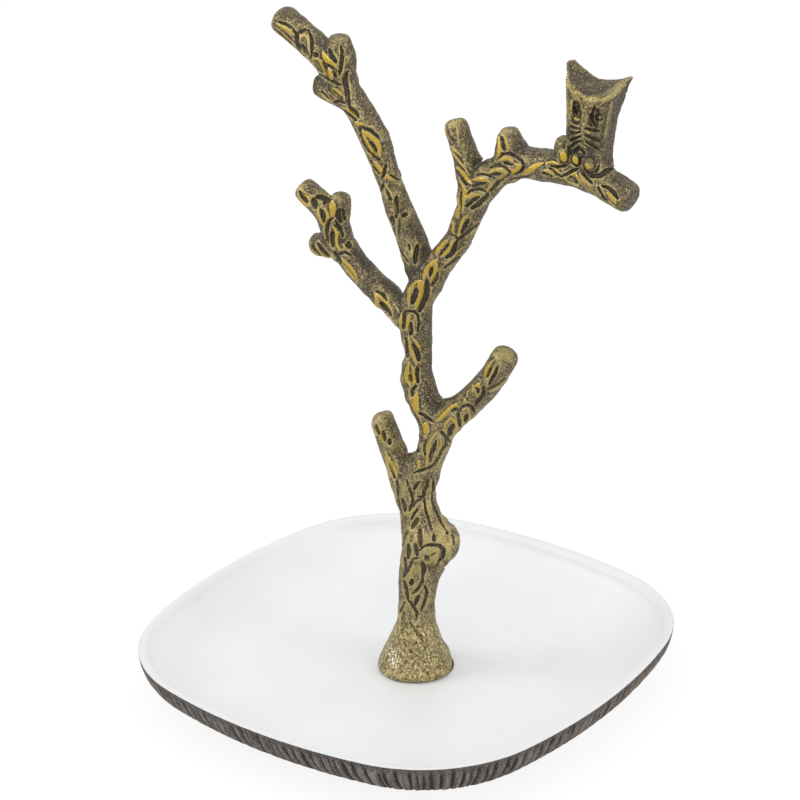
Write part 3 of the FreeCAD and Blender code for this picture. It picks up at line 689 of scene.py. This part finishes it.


# ---- the tree's carving

# Carved strokes as seen from the camera, in picture pixels: the first point of each and the step from each point to
# the next. A letter and half the width stand before the first stroke of a kind and hold for those that follow: g is a
# raised ridge rubbed to gold, r a ridge left as it is, d a dark cut, s a patch of painted shade in a crotch, under a
# limb or in the owl's recesses, and p a patch of polished brass and painted highlight. They are carved where the
# camera's rays meet the casting.
LIMB_STROKES = """
g3 421,283 0,4|333,202 0,6 0,7|g2.8 417,393 -1,7 0,6 3,5|426,425 1,6|g2.6 323,51 2,5 4,5 5,4 3,3
g2.5 523,174 7,-4 7,-4.5 7,-2.5|g2.2 329,70 2,4 1,5|363,131 7,5 6,5 3,6 1,10|437,262 -1,7 -2,7 -3,7
423,281 -1,10 -2,8 -3,6 -2,4|g2 374,161 4,5 3,4 1,5|457,167 6,6 6,8 4,3|457,210 1,6|516,164 4,2 -3,4 -3,1 -5,-3
448,240 -7,6 -4,6 0,4|438,259 -5,4 -5,5 -3,6 -1,5|436,421 5,-3 6,-6 5,-6|g1.8 357,123 6,2|362,131 3,7 3,6 5,7 5,6
460,180 4,7 2,5 -2,8 -1,7 0,5|499,137 0,7 1,6 -1,5 -2,4|453,240 -2,6 -4,6 -6,5|342,258 4,4 5,6 5,9 2,6
375,293 2,6 1,6 3,5|410,362 -2,6 -1,6 1,5 3,8|452,407 4,-2|386,452 2,6 4,8 4,9 1,4|g1.6 387,176 4,3
472,180 8,-1 7,1 5,2|492,183 -3,6 -2,2|507,174 -4,3 -4,3|553,168 4,3 3,2|608,193 4,4 4,6|419,280 -5,4 -4,6 -1,7 0,9
332,225 3,4 2,5 -1,6 2,8|410,314 -2,6 0,7 2,4|412,365 2,7 1,8 -2,6|478,385 1,1|494,360 -5,5 -2,5 -2,7
g1.5 276,23 7,4 7,4 5,5|333,88 5,3 4,4|498,161 5,-2 5,-1 4,2 2,2|325,208 3,6 0,4 -3,6 -1,5|377,293 5,5 5,5 4,6 2,7
419,462 0,5|465,400 0,2|g1.4 466,199 6,-4 6,-1 3,1|489,173 5,-3 6,0 5,2 3,1|580,173 3,7 5,5 4,5 5,6
468,215 -4,3 -2,5 -2,7 -2,7|452,219 2,6 -1,6 1,3|301,191 3,4 4,3 3,2|409,336 1,6 1,6 3,8 3,6
g1.3 314,59 4,-.5 3,2.5 2,6 3,6 1,4|544,170 4,1 4,3 4,3|379,425 2,6 1,6 2,6|444,430 2,-7 5,-5 4,3 1,7 -3,8
g1.2 450,145 4,4 5,5 2,3|501,134 4,4 2,6 2,5|571,175 4,-2 3,4 3,5 2,3|298,194 2,5 4,4 5,3 3,-3|319,208 -1,6 3,7 3,4
338,246 2,4|402,313 -1,7 0,7 2,6|412,337 5,6 3,7|437,432 -5,6 -3,7 -1,7 -1,10 -1,6|g1.1 341,106 6,3 5,4 7,6.5
547,167 0,-4 6,-1 5,2 4,1|g1 386,184 2,5 3,4 2,6|446,128 1,6 3,6|457,196 2,8 1,6|563,176 5,5 7,3 5,2
317,241 6,5 5,5 5,4 1,3|426,431 0,6|440,436 1,7 -2,7 -1,8|373,424 1,6 3,6|468,410 2,6 -2,5|474,392 0,-5 4,-3 3,-1
g.9 276,27 6,6 6,6 5,4|300,45 0,-7 4,-3 4,3 1,8 1,8|451,149 5,7 6,8 5,7 4,7|316,242 1,5 3,5 6,5 6,3|461,415 2,5 -1,6
481,390 -1,6 -3,2|g.8 314,60 3,6 4,5|331,49 4,5 3,6 0,6|322,94 5,5 6,3|600,185 2,5 3,4|610,201 5,5
442,261 4,2 6,-5 7,-8 5,-4|331,228 -2,6 0,7 2,6|343,244 2,4|341,261 5,6 5,7 5,7|410,388 0,7 2,8
412,396 -1,7 3,5 4,6 3,6|387,461 2,9 2,8|414,566 -4,7|468,391 -1,6|496,364 -2,6 -4,6 -3,4|g.7 333,69 4,4 2,4
345,56 -1,8 -1,7 -3,7|329,88 4,5 7,5|393,199 2,8 1,8|398,221 -1,9 0,7 2,8 3,6 6,7|411,244 1,8 0,6|311,250 4,3 3,2
380,309 6,6 6,4 6,7|395,304 3,6 2,3|411,353 3,7 4,6 3,3|420,416 2,7 3,9|g.6 305,52 5,8 6,8|385,192 3,6|450,128 3,8
455,124 3,7 0,7 1,7|497,187 7,-5 7,-3|431,284 0,7 1,4|301,188 4,4 5,3 4,2|335,218 4,5 4,6|413,320 1,8 1,6|473,385 0,6
488,391 4,0 5,-3|d2.8 314,199 1,8|349,243 0,4|d2.6 427,280 0,8 -1,8 -3,7 -4,9|426,557 2,3|d2.4 316,197 6,0 6,3 -4,4
d2.3 314,55 3,0|340,210 -2,6 3,6|d2.2 347,72 -2,8 2,10 1,10 2,6|471,209 9,-6 6,-6 2,-3|416,289 -1,6 -3,8
333,233 -1,7 1,6|381,303 5,5 5,7|413,345 4,7 2,8|420,530 0,8 0,8|453,425 -3,6 -1,5|d2 297,35 0,8 3,6|350,108 5,4 3,5
392,217 1,7|585,170 7,6 8,0 6,-5 8,-3|457,241 -3,7 -2,6 -6,4|321,210 2,6 1,6|318,244 4,5 6,7|402,499 2,6 1,6
408,545 1,6 -1,7|412,580 -1,5|422,562 2,7 -1,6|d1.9 300,192 3,4 4,6|d1.8 315,61 3,5 4,6|330,50 2,6 4,6
397,196 -1,8 1,8 -1,6|418,246 -2,8 -1,9|411,323 0,11|436,441 -2,7 -3,7 -1,7|447,533 1,0|415,544 1,5 1,6
404,581 2,7 1,6 1,6|419,596 -2,4 -2,5|404,613 -1,6 -1,8|484,386 -1,8 -4,5 -3,5|d1.7 428,480 -1,6 -3,6 0,6
418,519 -3,5 -3,4|d1.6 281,31 5,4 6,6|302,45 3,5 3,5|330,89 6,5 6,5|602,186 7,2 5,5 4,6|469,219 -3,5 -3,6 -2,3
432,268 -1,4 -1,3|335,252 3,6 3,4|467,414 -2,7|d1.5 341,46 1,6 0,8 -1,8 -2,7|489,191 5,-4 4,-5 5,-4 6,-4
467,206 7,-6 5,-3|438,273 -3,7 -4,6|333,218 -4,3 -2,6 0,8 2,8|405,312 -1,8 0,8|418,366 -1,8 1,8|383,432 2,8
390,440 0,4|434,535 0,6|441,432 5,5 3,4|d1.4 327,64 5,3 5,6|403,216 4,-2|343,210 2,10|312,246 4,5 5,5|410,375 1,6
408,530 -2,6 -2,7 -1,4|419,551 4,-4 5,-2 6,0 6,1 4,4 -1,6 -3,4 -3,5 -4,3|423,575 -1,7 -4,7 -6,5
425,586 2,6 -1,6 -2,6 -3,6|459,410 5,-4 4,-1 4,2 3,5|d1.3 323,62 3,6 2,11|361,129 0,7 3,7 4,7 4,4|364,128 6,2 6,5 4,4
387,191 2,5 2,4|502,137 1,8 2,5|571,177 4,3 2,3|458,239 5,-3 7,-5 6,-5 3,-3|336,221 5,8 2,7|406,338 1,9 1,10
419,413 5,2 5,4 5,3|441,432 5,6 0,7 -5,7 -3,7 -4,6 -6,3 -8,3 -6,2|376,425 2,6 2,3|419,482 -3,4 -2,3
408,600 3,3 3,5 3,5 -1,7|458,412 1,8 1,7|491,368 -2,4 -2,5|498,366 -3,8 -3,5 -3,5|d1.2 296,34 4,-2 4,-2 5,-.5
309,31 2,5 1,7 0,7 -1,8|333,72 3,4|335,102 5,-1 5,2|345,111 5,4 6,5|364,126 -4,2 1,4|370,142 4,5 2,3 -1,4
386,165 -1,5 -2,6 -1,2|383,185 -2,6|474,186 6,-2 6,-1|561,177 6,-3 5,-3 6,-2|444,268 7,-5 8,-6|416,386 -4,5 0,5
390,464 3,7 2,7|405,558 1,10 -2,9|412,562 -3,6 -3,6|410,622 3,6 4,5 4,5 2,3|478,389 0,4|d1.1 421,499 -5,3 -4,5 -3,4
433,478 0,12 -1,10 2,7 3,7 3,6 4,7 4,5|452,411 3,-2 6,2|488,389 6,-2 6,-4 6,-5|d1 279,22 7,2 6,4 4,5
319,74 7,4 8,4 7,3|322,92 4,4 3,3|409,245 1,5|466,195 4,-4 6,-2 7,1 5,3|457,171 5,7 5,7|461,192 0,8 0,10
497,160 6,-6 7,-1 7,4 5,4 2,5 -3,5 -7,3|551,166 6,1 6,-1 5,-1|543,173 4,1 6,2|583,173 4,5 5,5|586,184 4,4 5,6
598,187 3,6 3,5 3,2|449,244 -4,5 -4,5|377,291 6,3 4,7|405,311 5,0 5,1 3,4 1,7 -1,8|426,440 -2,7 1,8
407,480 2,8 3,7 1,4 -1,5 -3,5|424,498 1,7 1,7 2,6 2,6 2,6|423,497 -5,0|418,509 -4,5 -3,6|431,556 4,-3
407,624 -3,4 -3,4|d.9 370,152 5,4 5,4|371,161 4,7 5,6|397,240 3,9 4,7 4,6|504,163 5,1 4,1|490,168 5,-3 5,0 6,3 5,4
491,175 5,-1 5,0|503,183 5,-3 6,-1.5 9,-1.5 8,-1|339,254 6,-2 6,3|397,478 1,8 0,11 2,11 3,7|452,535 2,5 0,5
413,559 5,-1|405,602 -3,6 -2,4|d.8 276,29 7,7 9,8|454,152 5,5 4,6|476,175 7,-1 6,2 5,2|549,168 5,2 3,4 4,2
344,264 5,6 5,6 3,5|d.7 390,175 5,3 5,2|451,235 4,1 3,4|s5 411,262 7,-5 8,-8|s4.5 409,276 4,-8|382,281 10,7 10,8
s4 315,76 0,16|s3.6 437,388 6,9 10,-1|408,449 5,11|s3.4 394,415 7,17 6,14|s3 407,269 1,8|472,408 14,-14 13,-19
313,236 2,8|352,246 8,12 10,10|366,92 -6,-22 -6,-10|492,196 16,-6 22,-4 26,6|480,160 8,6|s2.6 428,252 -3,6
398,232 4,-18 -6,-18|452,262 10,-22 12,-20|454,560 -8,8|s2.4 433,312 -1,28 0,28 4,18|437,478 0,17 2,17
446,138 6,22 4,20|s1.6 400,536 -1,30 0,30|p5.4 391,646 2,10 3,11|p5 502,352 7,3|p4 438,549 -5,8 -6,4
p3.4 421,561 -6,9 -5,7|p3 444,540 4,9|p2.8 400,480 4,9 -1,8|p2.6 411,627 1,9|420,536 -3,7|p2.5 493,352 3,4
p2.4 408,527 -4,13|p2.2 395,462 2,12|p2 405,607 -1,13 1,8|418,519 -5,10|437,528 3,10|414,598 -5,-6|p1.8 432,455 -3,9
"""
OWL_STROKES = """
g3.2 563.7,155.5 .3,2.5|g2.5 575.3,159 .7,2.5|g2 587,164.6 .6,2.6|g1.8 575,118.4 3,1.2|g1 571.6,102 .4,7
r4.6 590,163 .4,1|r4 585,101 7,2 6,-2|r3 625,84 -9,8 -11,7 -8,6 -7,7|r2.4 586,106 -1,12 -1,10 -1,12
r2.2 567,82 7,11 6,10 5,9|r1.8 611,101 -1,11 -2,13 -3,15 -2,10|r1.6 566,76 4,6.5 6,8.5 8,5 10,1
594,97 10,-1.4 10,-6.6 8.5,-8 6.5,-3|r1.4 598,117 1.5,.5|586,131 7,3 7,2|r1.3 570,137.5 6,-2.5 5,-1.5|586,138 6,4 7,3
r1.2 571,144 5,-3 5,-2.5|586,125.5 6,2 6,1|572,149.5 7,-6.5 7,5|r1.1 571,129.5 6,1 4,-1|r1 594,110 4,-2 6,0
571,123.5 5,2.5 5,.5|r.9 572,110 1,6 4,5 4,-1|r.8 567.5,84 0,26 0,24|r.7 575.6,113 1,0|d1.2 574,153 5.5,-5 5.5,5
568,147 3,6 1,4|d1 573.5,107 2.5,4 1,3|586,141.5 6,3.5 6,4|558.5,152 0,6 3.5,5 6,-.5|570.5,157 1,6 5.5,3 4,-3
d.9 586,128 6,2 7,1|d.8 571,132.5 5,.5 5,-1.5|570,141 6,-3 5,-2|570,147 5,-4 5,-2|586,134.5 6,3.5 8,3
d.7 596,104.5 -3.5,6.5 0,8 2.5,6|571,126 5,2 5,1|583,165 5,8 8,-1 3,-6
d.65 602.7,117.5 -.9,2.3 -2.3,.9 -2.3,-.9 -.9,-2.3 .9,-2.3 2.3,-.9 2.3,.9 .9,2.3|s6 596,131 -1,11 -3,10
s5.5 571,128 2,12 1,10|s5 569,157 13,4 12,-2|s3.6 599,109 -2,8 -1,7|s2.2 602,128 -1,11 -2,10
s2 603,101 -7,3.5 -4,6.5 0,8 3,6 5,1.5|s1.8 573,106 2,5 2,4|s1.6 583,160 0,8 5,5.5 8,-1.5 3,-7
s1.3 606,104 -1,12 -2,14 -3,14|p2.2 583,97.5 9,2 9,-1|p2 590,101 -3,7 -2,5|p1.9 601,98 10,-6 9,-7.5 8,-6
p1.8 563.4,151 1,0|p1.7 566.5,78 3.5,7 5,7 8,5.5|p1.4 613,93 -9,7|p1.3 585,112 -1,14 -1,13|p1.2 575,155.6 2,.4
p1 570,84 7,11 7,13|p.9 598,116.6 2,.8|p.8 572,124 5,2.4|587,126 7,2|588,132.4 8,3|574,148 5,-4.4 5,3.4
609,108 -2,14 -2,14|p.7 575.6,112.6 1,0|596,109 4,-1.4 4,.4|572,130 6,.4|573,136.6 6,-2.6
"""


def entries_of(table):
    """The words of each entry of a table, whose entries end at a bar or at the line's end."""
    return [entry.split() for entry in table.replace("|", "\n").split("\n") if entry]


def pair_of(word):
    return tuple(float(number) for number in word.split(","))


def strokes_of(table):
    """The kind of each stroke, its half width and its points."""
    strokes = []
    for words in entries_of(table):
        if words[0][0].isalpha():
            head = words.pop(0)
        points = np.array([pair_of(word) for word in words]).cumsum(axis=0)
        strokes.append((head[0], float(head[1:]), points))
    return strokes


def photo_places(points, side):
    """Where points are in the picture, in pixels. Side -1 looks from the same place mirrored to the back."""
    off = points * (1, side, 1) - EYE
    depth = off @ FORWARD
    across = PICTURE_MIDDLE + FOCAL_PIXELS * (off @ RIGHT) / depth
    down = PICTURE_MIDDLE - FOCAL_PIXELS * (off @ UP) / depth
    return np.stack((across, down), axis=1)


def in_sight(points, normals, side, blockers):
    """Whether each point is seen, and how squarely it faces the camera."""
    toward = EYE * (1, side, 1) - points
    toward /= np.linalg.norm(toward, axis=1)[:, None]
    facing = (normals * toward).sum(axis=1)
    seen = facing > EDGE_ON
    starts = points + normals * 0.3 * MM + toward * 1.6 * MM
    for index in np.nonzero(seen)[0]:
        if blockers.ray_cast(Vector(starts[index]), Vector(toward[index]))[0] is not None:
            seen[index] = False
    return seen, facing


def line_distance(places, line):
    """The distance from each place to a broken line, and how far along it, from 0 to 1, the nearest point is."""
    legs = np.linalg.norm(np.diff(line, axis=0), axis=1)
    starts = np.concatenate(((0.0,), np.cumsum(legs)))
    nearest = np.full(len(places), np.inf)
    along = np.zeros(len(places))
    for number, leg in enumerate(legs):
        step = (line[number + 1] - line[number]) / max(leg, 1e-6)
        off = places - line[number]
        run = np.clip(off @ step, 0.0, leg)
        distance = np.linalg.norm(off - run[:, None] * step, axis=1)
        closer = distance < nearest
        nearest = np.where(closer, distance, nearest)
        along = np.where(closer, (starts[number] + run) / max(starts[-1], 1e-6), along)
    return nearest, along


# Small pushes that bring the casting's outline to the picture's: the middle and reach of each in picture pixels, then
# how far it pushes right and down.
PUSHES = """
572,64 18 -4.4,0|611,81 15 0,-2.6|623,79 9 0,-1.2|627,97 13 1.2,0|397,322 10 -2.4,1|403,351 9 2.2,0|403,357 7 1.6,0
401,381 9 -2.4,0|401,388 6 -1.4,0|409,406 8 1.8,0|408,273 10 -1.8,0|527,143 7 2.8,0|499,131 6 1.4,.6|517,182 10 0,1.8
331,260 8 -.8,3|294,9 9 1,-1.2|357,78 8 2,0|413,424 16 2.6,0|415,448 7 1.5,1|373,418 7 2,0|390,484 13 -1.6,0
440,477 13 1.4,0|437,500 8 -1.4,0|451,521 7 -1.2,1|460,536 7 1.4,0|442,571 12 2.8,.4|445,567 8 1.2,.6
457,558 9 -1.4,-.7|439.5,568.5 6 2.2,0|313,76 8 -.9,-.5|484,157 5 1.6,0|404,289 6 0,2.6|385,318 13 -.9,1
314,232 6 -.6,-1.4|456,186 9 1.2,0|452,662 16 -1.6,0|415,683 32 0,-1.3|410,445 8 2,1.6|444,400 9 0,-2.6|417,448 6 1,1
419,440 6 2.6,0|461,549 8 -1.6,0|413,451 6 0,1.4|451,268 7 1,0|386,318 9 -1.2,0|376,303 9 -1.2,1|482,158 4 1.8,0
491,158 5 0,1.4|432,245 4 0,1.4|405,290 5 -1,1|443,401 4 0,-1.6
"""


def pushed(points):
    """The points after the small pushes."""
    places = photo_places(points, 1)
    size = ((points - EYE) @ FORWARD) / FOCAL_PIXELS
    moved = points.copy()
    for middle, reach, push in entries_of(PUSHES):
        right, down = pair_of(push)
        share = np.clip(1.0 - ((places - pair_of(middle)) ** 2).sum(axis=1) / float(reach) ** 2, 0.0, 1.0) ** 2
        moved += (share * size)[:, None] * (right * RIGHT - down * UP)
    return moved


MEASURES = {"g": "gilt", "d": "groove", "s": "shade", "p": "polish_and_highlight"}
FAR = 3.0
EDGE_ON = 0.03
STROKE_REACH = 12
SLOPE_START = 0.28
SLOPE_WIDTH = 0.42


def taper_of(kind, line):
    """How much narrower a stroke's ends are than its middle."""
    if len(line) > 3:
        return 0.75
    return 0.45 if kind == "d" or len(line) == 3 else 0.0


def relief_of(half, least, growth, widest):
    """How far a stroke rises or cuts in, which grows with its half width."""
    return least + growth * min(half, widest)


def carve(points, normals, blockers, strokes):
    """Signed distances in mm to the nearest stroke of each kind, and how far each point rises.

    The front is carved as the picture shows it, and what is left is carved from behind, mirrored.
    """
    count = len(points)
    measures = {name: np.full(count, FAR) for name in MEASURES.values()}
    lift = np.zeros(count)
    taken = np.zeros(count, dtype=bool)
    for side in (1, -1):
        seen, facing = in_sight(points, normals, side, blockers)
        if side == -1:
            seen &= ~taken
        taken |= seen
        which = np.nonzero(seen)[0]
        places = photo_places(points[which], side)
        depth = np.linalg.norm(points[which] * (1, side, 1) - EYE, axis=1)
        pixel = depth / FOCAL_PIXELS / MM
        hold = np.clip((facing[which] - EDGE_ON) / (0.14 if side == 1 else 0.25), 0.0, 1.0)
        down = np.zeros(len(which))
        rise = np.zeros(len(which))
        for kind, half, line in strokes:
            low, high = line.min(axis=0) - STROKE_REACH, line.max(axis=0) + STROKE_REACH
            near = np.nonzero(((places > low) & (places < high)).all(axis=1))[0]
            if not len(near):
                continue
            distance, along = line_distance(places[near], line)
            taper = 1.0 - taper_of(kind, line) * np.abs(2 * along - 1) ** 3
            edge = (distance - half * taper) * pixel[near]
            if kind in MEASURES:
                measure = measures[MEASURES[kind]]
                spread = edge + (1 - hold[near]) * 1.5
                measure[which[near]] = np.minimum(measure[which[near]], spread)
            profile = np.clip((SLOPE_START - edge) / SLOPE_WIDTH, 0.0, 1.0)
            profile = profile * profile * (3 - 2 * profile) * hold[near]
            if kind in "gr":
                rise[near] = np.maximum(rise[near], relief_of(half, 0.10, 0.09, 4.5) * profile)
            if kind == "d":
                down[near] = np.maximum(down[near], relief_of(half, 0.24, 0.18, 2.4) * profile)
        lift[which] = rise - down
    return measures, lift


def cut_off(bm, point, normal):
    """Cuts away what lies in front of a plane and closes the cut."""
    geometry = bm.verts[:] + bm.edges[:] + bm.faces[:]
    where = Vector(point) * MM
    made = bmesh.ops.bisect_plane(bm, geom=geometry, plane_co=where, plane_no=Vector(normal), clear_outer=True)
    rim = [item for item in made["geom_cut"] if isinstance(item, bmesh.types.BMEdge)]
    rim = [edge for edge in rim if edge.is_boundary]
    bmesh.ops.holes_fill(bm, edges=rim, sides=0)
    for edge in rim:
        edge.smooth = False


def settled(name, bm, modifiers, weights=None):
    """The mesh after modifiers, as a new bmesh. Weights gives each vertex of the remeshed skin a share from 0 to 1."""
    holder = mesh_object(name, bm)
    mesh = holder.data
    if weights is not None:
        group = holder.vertex_groups.new(name="soft")
        for index, vertex in enumerate(mesh.vertices):
            group.add([index], weights(vertex.co), "REPLACE")
    for kind, settings in modifiers:
        modifier = holder.modifiers.new(kind.lower(), kind)
        for key, setting in settings.items():
            setattr(modifier, key, setting)
    graph = bpy.context.evaluated_depsgraph_get()
    result = bmesh.new()
    result.from_object(holder, graph)
    bpy.data.objects.remove(holder)
    bpy.data.meshes.remove(mesh)
    return result


def keep_curves(piece):
    """Keeps how proud each vertex stands of its near and of its wider surroundings, from about -1 to 1."""
    points, normals = (numbers_of(piece.data.vertices, name) for name in ("co", "normal"))
    edges = numbers_of(piece.data.edges, "vertices", 2, np.int64)
    count = len(points)
    links = np.maximum(np.bincount(edges.ravel(), minlength=count), 1)[:, None]

    def softened(field, runs):
        for _ in range(runs):
            total = np.zeros_like(field)
            for axis in range(field.shape[1]):
                total[:, axis] += np.bincount(edges[:, 0], field[edges[:, 1], axis], count)
                total[:, axis] += np.bincount(edges[:, 1], field[edges[:, 0], axis], count)
            field = (field + total / links) / 2
        return field

    near = softened(points, 6)
    wide = softened(near, 60)
    crest = ((points - near) * normals).sum(axis=1)[:, None]
    basin = ((near - wide) * normals).sum(axis=1)[:, None]
    keep_measure(piece, "crest", np.clip(softened(crest, 1)[:, 0] / (0.05 * MM), -1.5, 1.5))
    basin = softened(basin, 4)[:, 0] / MM
    keep_measure(piece, "basin", np.clip((basin - 0.12) / 0.30, -1.5, 1.0))


FOOT_BOTTOM = 6.0
FOOT_HEIGHTS = (FOOT_BOTTOM, 7.4, 10.3, 14.6)
FOOT_RADII = (11.75, 11.6, 10.3, 8.15)


def square_foot(vert):
    """Gives the foot back the crisp lower edge that smoothing took."""
    x, y, z = vert.co / MM
    share = min(1.0, max(0.0, (10.5 - z) / 4.0))
    radius = math.hypot(x - SCREW_X, y)
    if share == 0.0 or radius < 6.0:
        return
    wanted = float(np.interp(z, FOOT_HEIGHTS, FOOT_RADII))
    if radius < wanted - 1.2:
        return
    grow = 1.0 + share * (wanted / radius - 1.0)
    vert.co.x = (SCREW_X + (x - SCREW_X) * grow) * MM
    vert.co.y = y * grow * MM


MARGIN = 3.0
OVERLAP = 0.2
SWELL = 0.12
LUMPS = ((330.0, 0.16), (900.0, 0.07))


def tree_piece(name, material, source, blockers, cuts, voxel, strokes, soft_runs, weights=None):
    """One stretch of the tree's casting. Cuts are planes. A margin past them is worked too, then cut away."""

    def trim(bm, margin):
        for point, normal in cuts:
            cut_off(bm, [place + margin * part for place, part in zip(point, normal)], normal)

    bm = source.copy()
    trim(bm, MARGIN)
    bm = settled(name, bm, [("REMESH", {"mode": "VOXEL", "voxel_size": voxel * MM})])
    smoothing = [("SMOOTH", {"factor": 0.5, "iterations": runs, **extra}) for runs, extra in soft_runs]
    bm = settled(name, bm, smoothing, weights)
    trim(bm, OVERLAP)
    bmesh.ops.recalc_face_normals(bm, faces=bm.faces)
    bm.normal_update()
    for vert in bm.verts:
        square_foot(vert)
    normals = np.array([vert.normal for vert in bm.verts])
    points = pushed(np.array([vert.co for vert in bm.verts]))
    for vert, place in zip(bm.verts, points):
        vert.co = place
    measures, lift = carve(points, normals, blockers, strokes)
    for vert, rise, place, normal in zip(bm.verts, lift, points, normals):
        lumps = sum(noise.noise(Vector(place) * fineness) * height for fineness, height in LUMPS)
        vert.co += Vector(normal) * (rise + lumps + SWELL) * MM
    for vert in bm.verts:
        vert.co.z = max(vert.co.z, FOOT_BOTTOM * MM)
    for face in bm.faces:
        face.smooth = True
    piece = add_piece(name, bm, material, ["tree_casting"])
    for measure, values in measures.items():
        keep_measure(piece, measure, values)
    keep_curves(piece)


# The planes between the tree's three stretches, as a point and the direction of what is cut away.
FORK_CUT = ((6.0, 0.0, 112.0), (-0.3714, 0.0, 0.9285))
FORK_BACK = ((6.0, 0.0, 112.0), (0.3714, 0.0, -0.9285))
OWL_CUT = ((51.0, 0.0, 178.0), (1.0, 0.0, 0.0))
OWL_BACK = ((51.0, 0.0, 178.0), (-1.0, 0.0, 0.0))
KNOT = Vector((12.8, 2.6, 43.2))
KNOT_REACH = 6.5


def tree(material):
    node = NODES["tree_casting"]
    source = bmesh.new()
    source.from_mesh(node.data)
    source.transform(node.matrix_world)
    bmesh.ops.remove_doubles(source, verts=source.verts, dist=1e-6)
    bmesh.ops.recalc_face_normals(source, faces=source.faces)
    blockers = BVHTree.FromBMesh(source)
    limb_strokes = strokes_of(LIMB_STROKES)
    owl_strokes = strokes_of(OWL_STROKES)
    even = [(60, {})]

    def knot_share(place):
        """1 where the knot's underside meets the trunk, 0 out of its reach."""
        return max(0.0, 1.0 - ((place / MM - KNOT).length / KNOT_REACH) ** 2)

    runs = even + [(320, {"vertex_group": "soft"})]
    tree_piece("tree_lower", material, source, blockers, [FORK_CUT], 0.32, limb_strokes, runs, knot_share)
    tree_piece("tree_upper", material, source, blockers, [FORK_BACK, OWL_CUT], 0.335, limb_strokes, even)

    def limb_share(place):
        """1 on the limb below the owl, 0 on the owl."""
        top = 183.0 - (place.x / MM - 52.0) * 0.13
        return min(1.0, max(0.0, (top + 2.6 - place.z / MM) / 3.4))

    runs = [(90, {"vertex_group": "soft"}), (7, {})]
    both = limb_strokes + owl_strokes
    tree_piece("tree_owl", material, source, blockers, [OWL_BACK], 0.22, both, runs, limb_share)
    source.free()


# ---- stage and light

WHITE = (1.0, 1.0, 1.0, 1.0)


def stage():
    """A pale floor that keeps the object's shadow and is near white to the camera."""
    bm = bmesh.new()
    bmesh.ops.create_grid(bm, x_segments=1, y_segments=1, size=4.0)
    floor = mesh_object("floor", bm)
    paint = Paint("floor")
    paint.surface(Base_Color=(0.80, 0.80, 0.80, 1.0), Roughness=1.0, Specular_IOR_Level=0.0)
    glow = paint.node("ShaderNodeEmission", {}, {"Color": WHITE, "Strength": 1.08})
    path = paint.node("ShaderNodeLightPath", {}, {})
    paint.end_with(Value(paint, path.outputs["Is Camera Ray"]) * 0.82, paint.shader, glow)
    floor.data.materials.append(paint.material)


def world(strength):
    """Even light of that strength, which the camera and mirrors see as white."""
    sky = bpy.data.worlds.new("studio")
    bpy.context.scene.world = sky
    nodes = NodeTree(sky, "World Output")
    lit, white = (
        nodes.node("ShaderNodeBackground", {}, {"Color": WHITE, "Strength": light}) for light in (strength, 1.0)
    )
    path = nodes.node("ShaderNodeLightPath", {}, {})
    seen = Value(nodes, path.outputs["Is Camera Ray"])
    for kind in ("Is Glossy Ray", "Is Transmission Ray"):
        seen = seen.maths("MAXIMUM", path.outputs[kind])
    nodes.end_with(seen, lit, white)


def lamp(name, place, aim, size, power):
    """A softbox at a place in metres, of that size in metres and power in watts, turned to its aim."""
    light = bpy.data.lights.new(name, "AREA")
    light.shape = "RECTANGLE"
    light.size, light.size_y = size
    light.energy = power
    holder = placed(name, light)
    holder.location = place
    holder.rotation_euler = (Vector(aim) - Vector(place)).to_track_quat("-Z", "Y").to_euler()


photo_camera()
bpy.context.scene.view_settings.view_transform = "Standard"
stage()
world(0.80)
lamp("left_softbox", (-0.86, -0.68, 0.72), (0.0, 0.0, 0.08), (0.5, 0.5), 3.4)
lamp("top_softbox", (0.05, -0.05, 1.15), (0.0, 0.0, 0.0), (0.8, 0.8), 1.8)
lamp("right_softbox", (1.05, 0.10, 0.45), (0.0, 0.0, 0.10), (0.5, 0.8), 2.4)
lamp("front_fill", (0.60, -1.05, 0.28), (0.0, 0.0, 0.06), (1.2, 0.4), 0.8)

tree(antique_brass())
dish_casting(dark_cast())
enamel_lining(white_enamel())
rubber, felt = black_rubber(), dark_felt()
disc_piece("gasket", rubber, "foot_gasket", 3.42, 0.92, COAT_FLOOR, FOOT_BOTTOM, 11.05, 2.75, 0.2)
screw(brushed_steel())
disc_piece("centre_felt", felt, "centre_felt_disc", 0, 0, 0.0, 1.5, 13.0, 0.0, 0.5, 0.12)
for number, (across, back) in enumerate(((36, -36), (36, 36), (-36, 36), (-36, -36)), start=1):
    name = f"corner_felt_{number}"
    disc_piece(name, felt, f"corner_felt_pad_{number}", across, back, 0.0, 1.5, 7.0, 0.0, 0.5, 0.12)
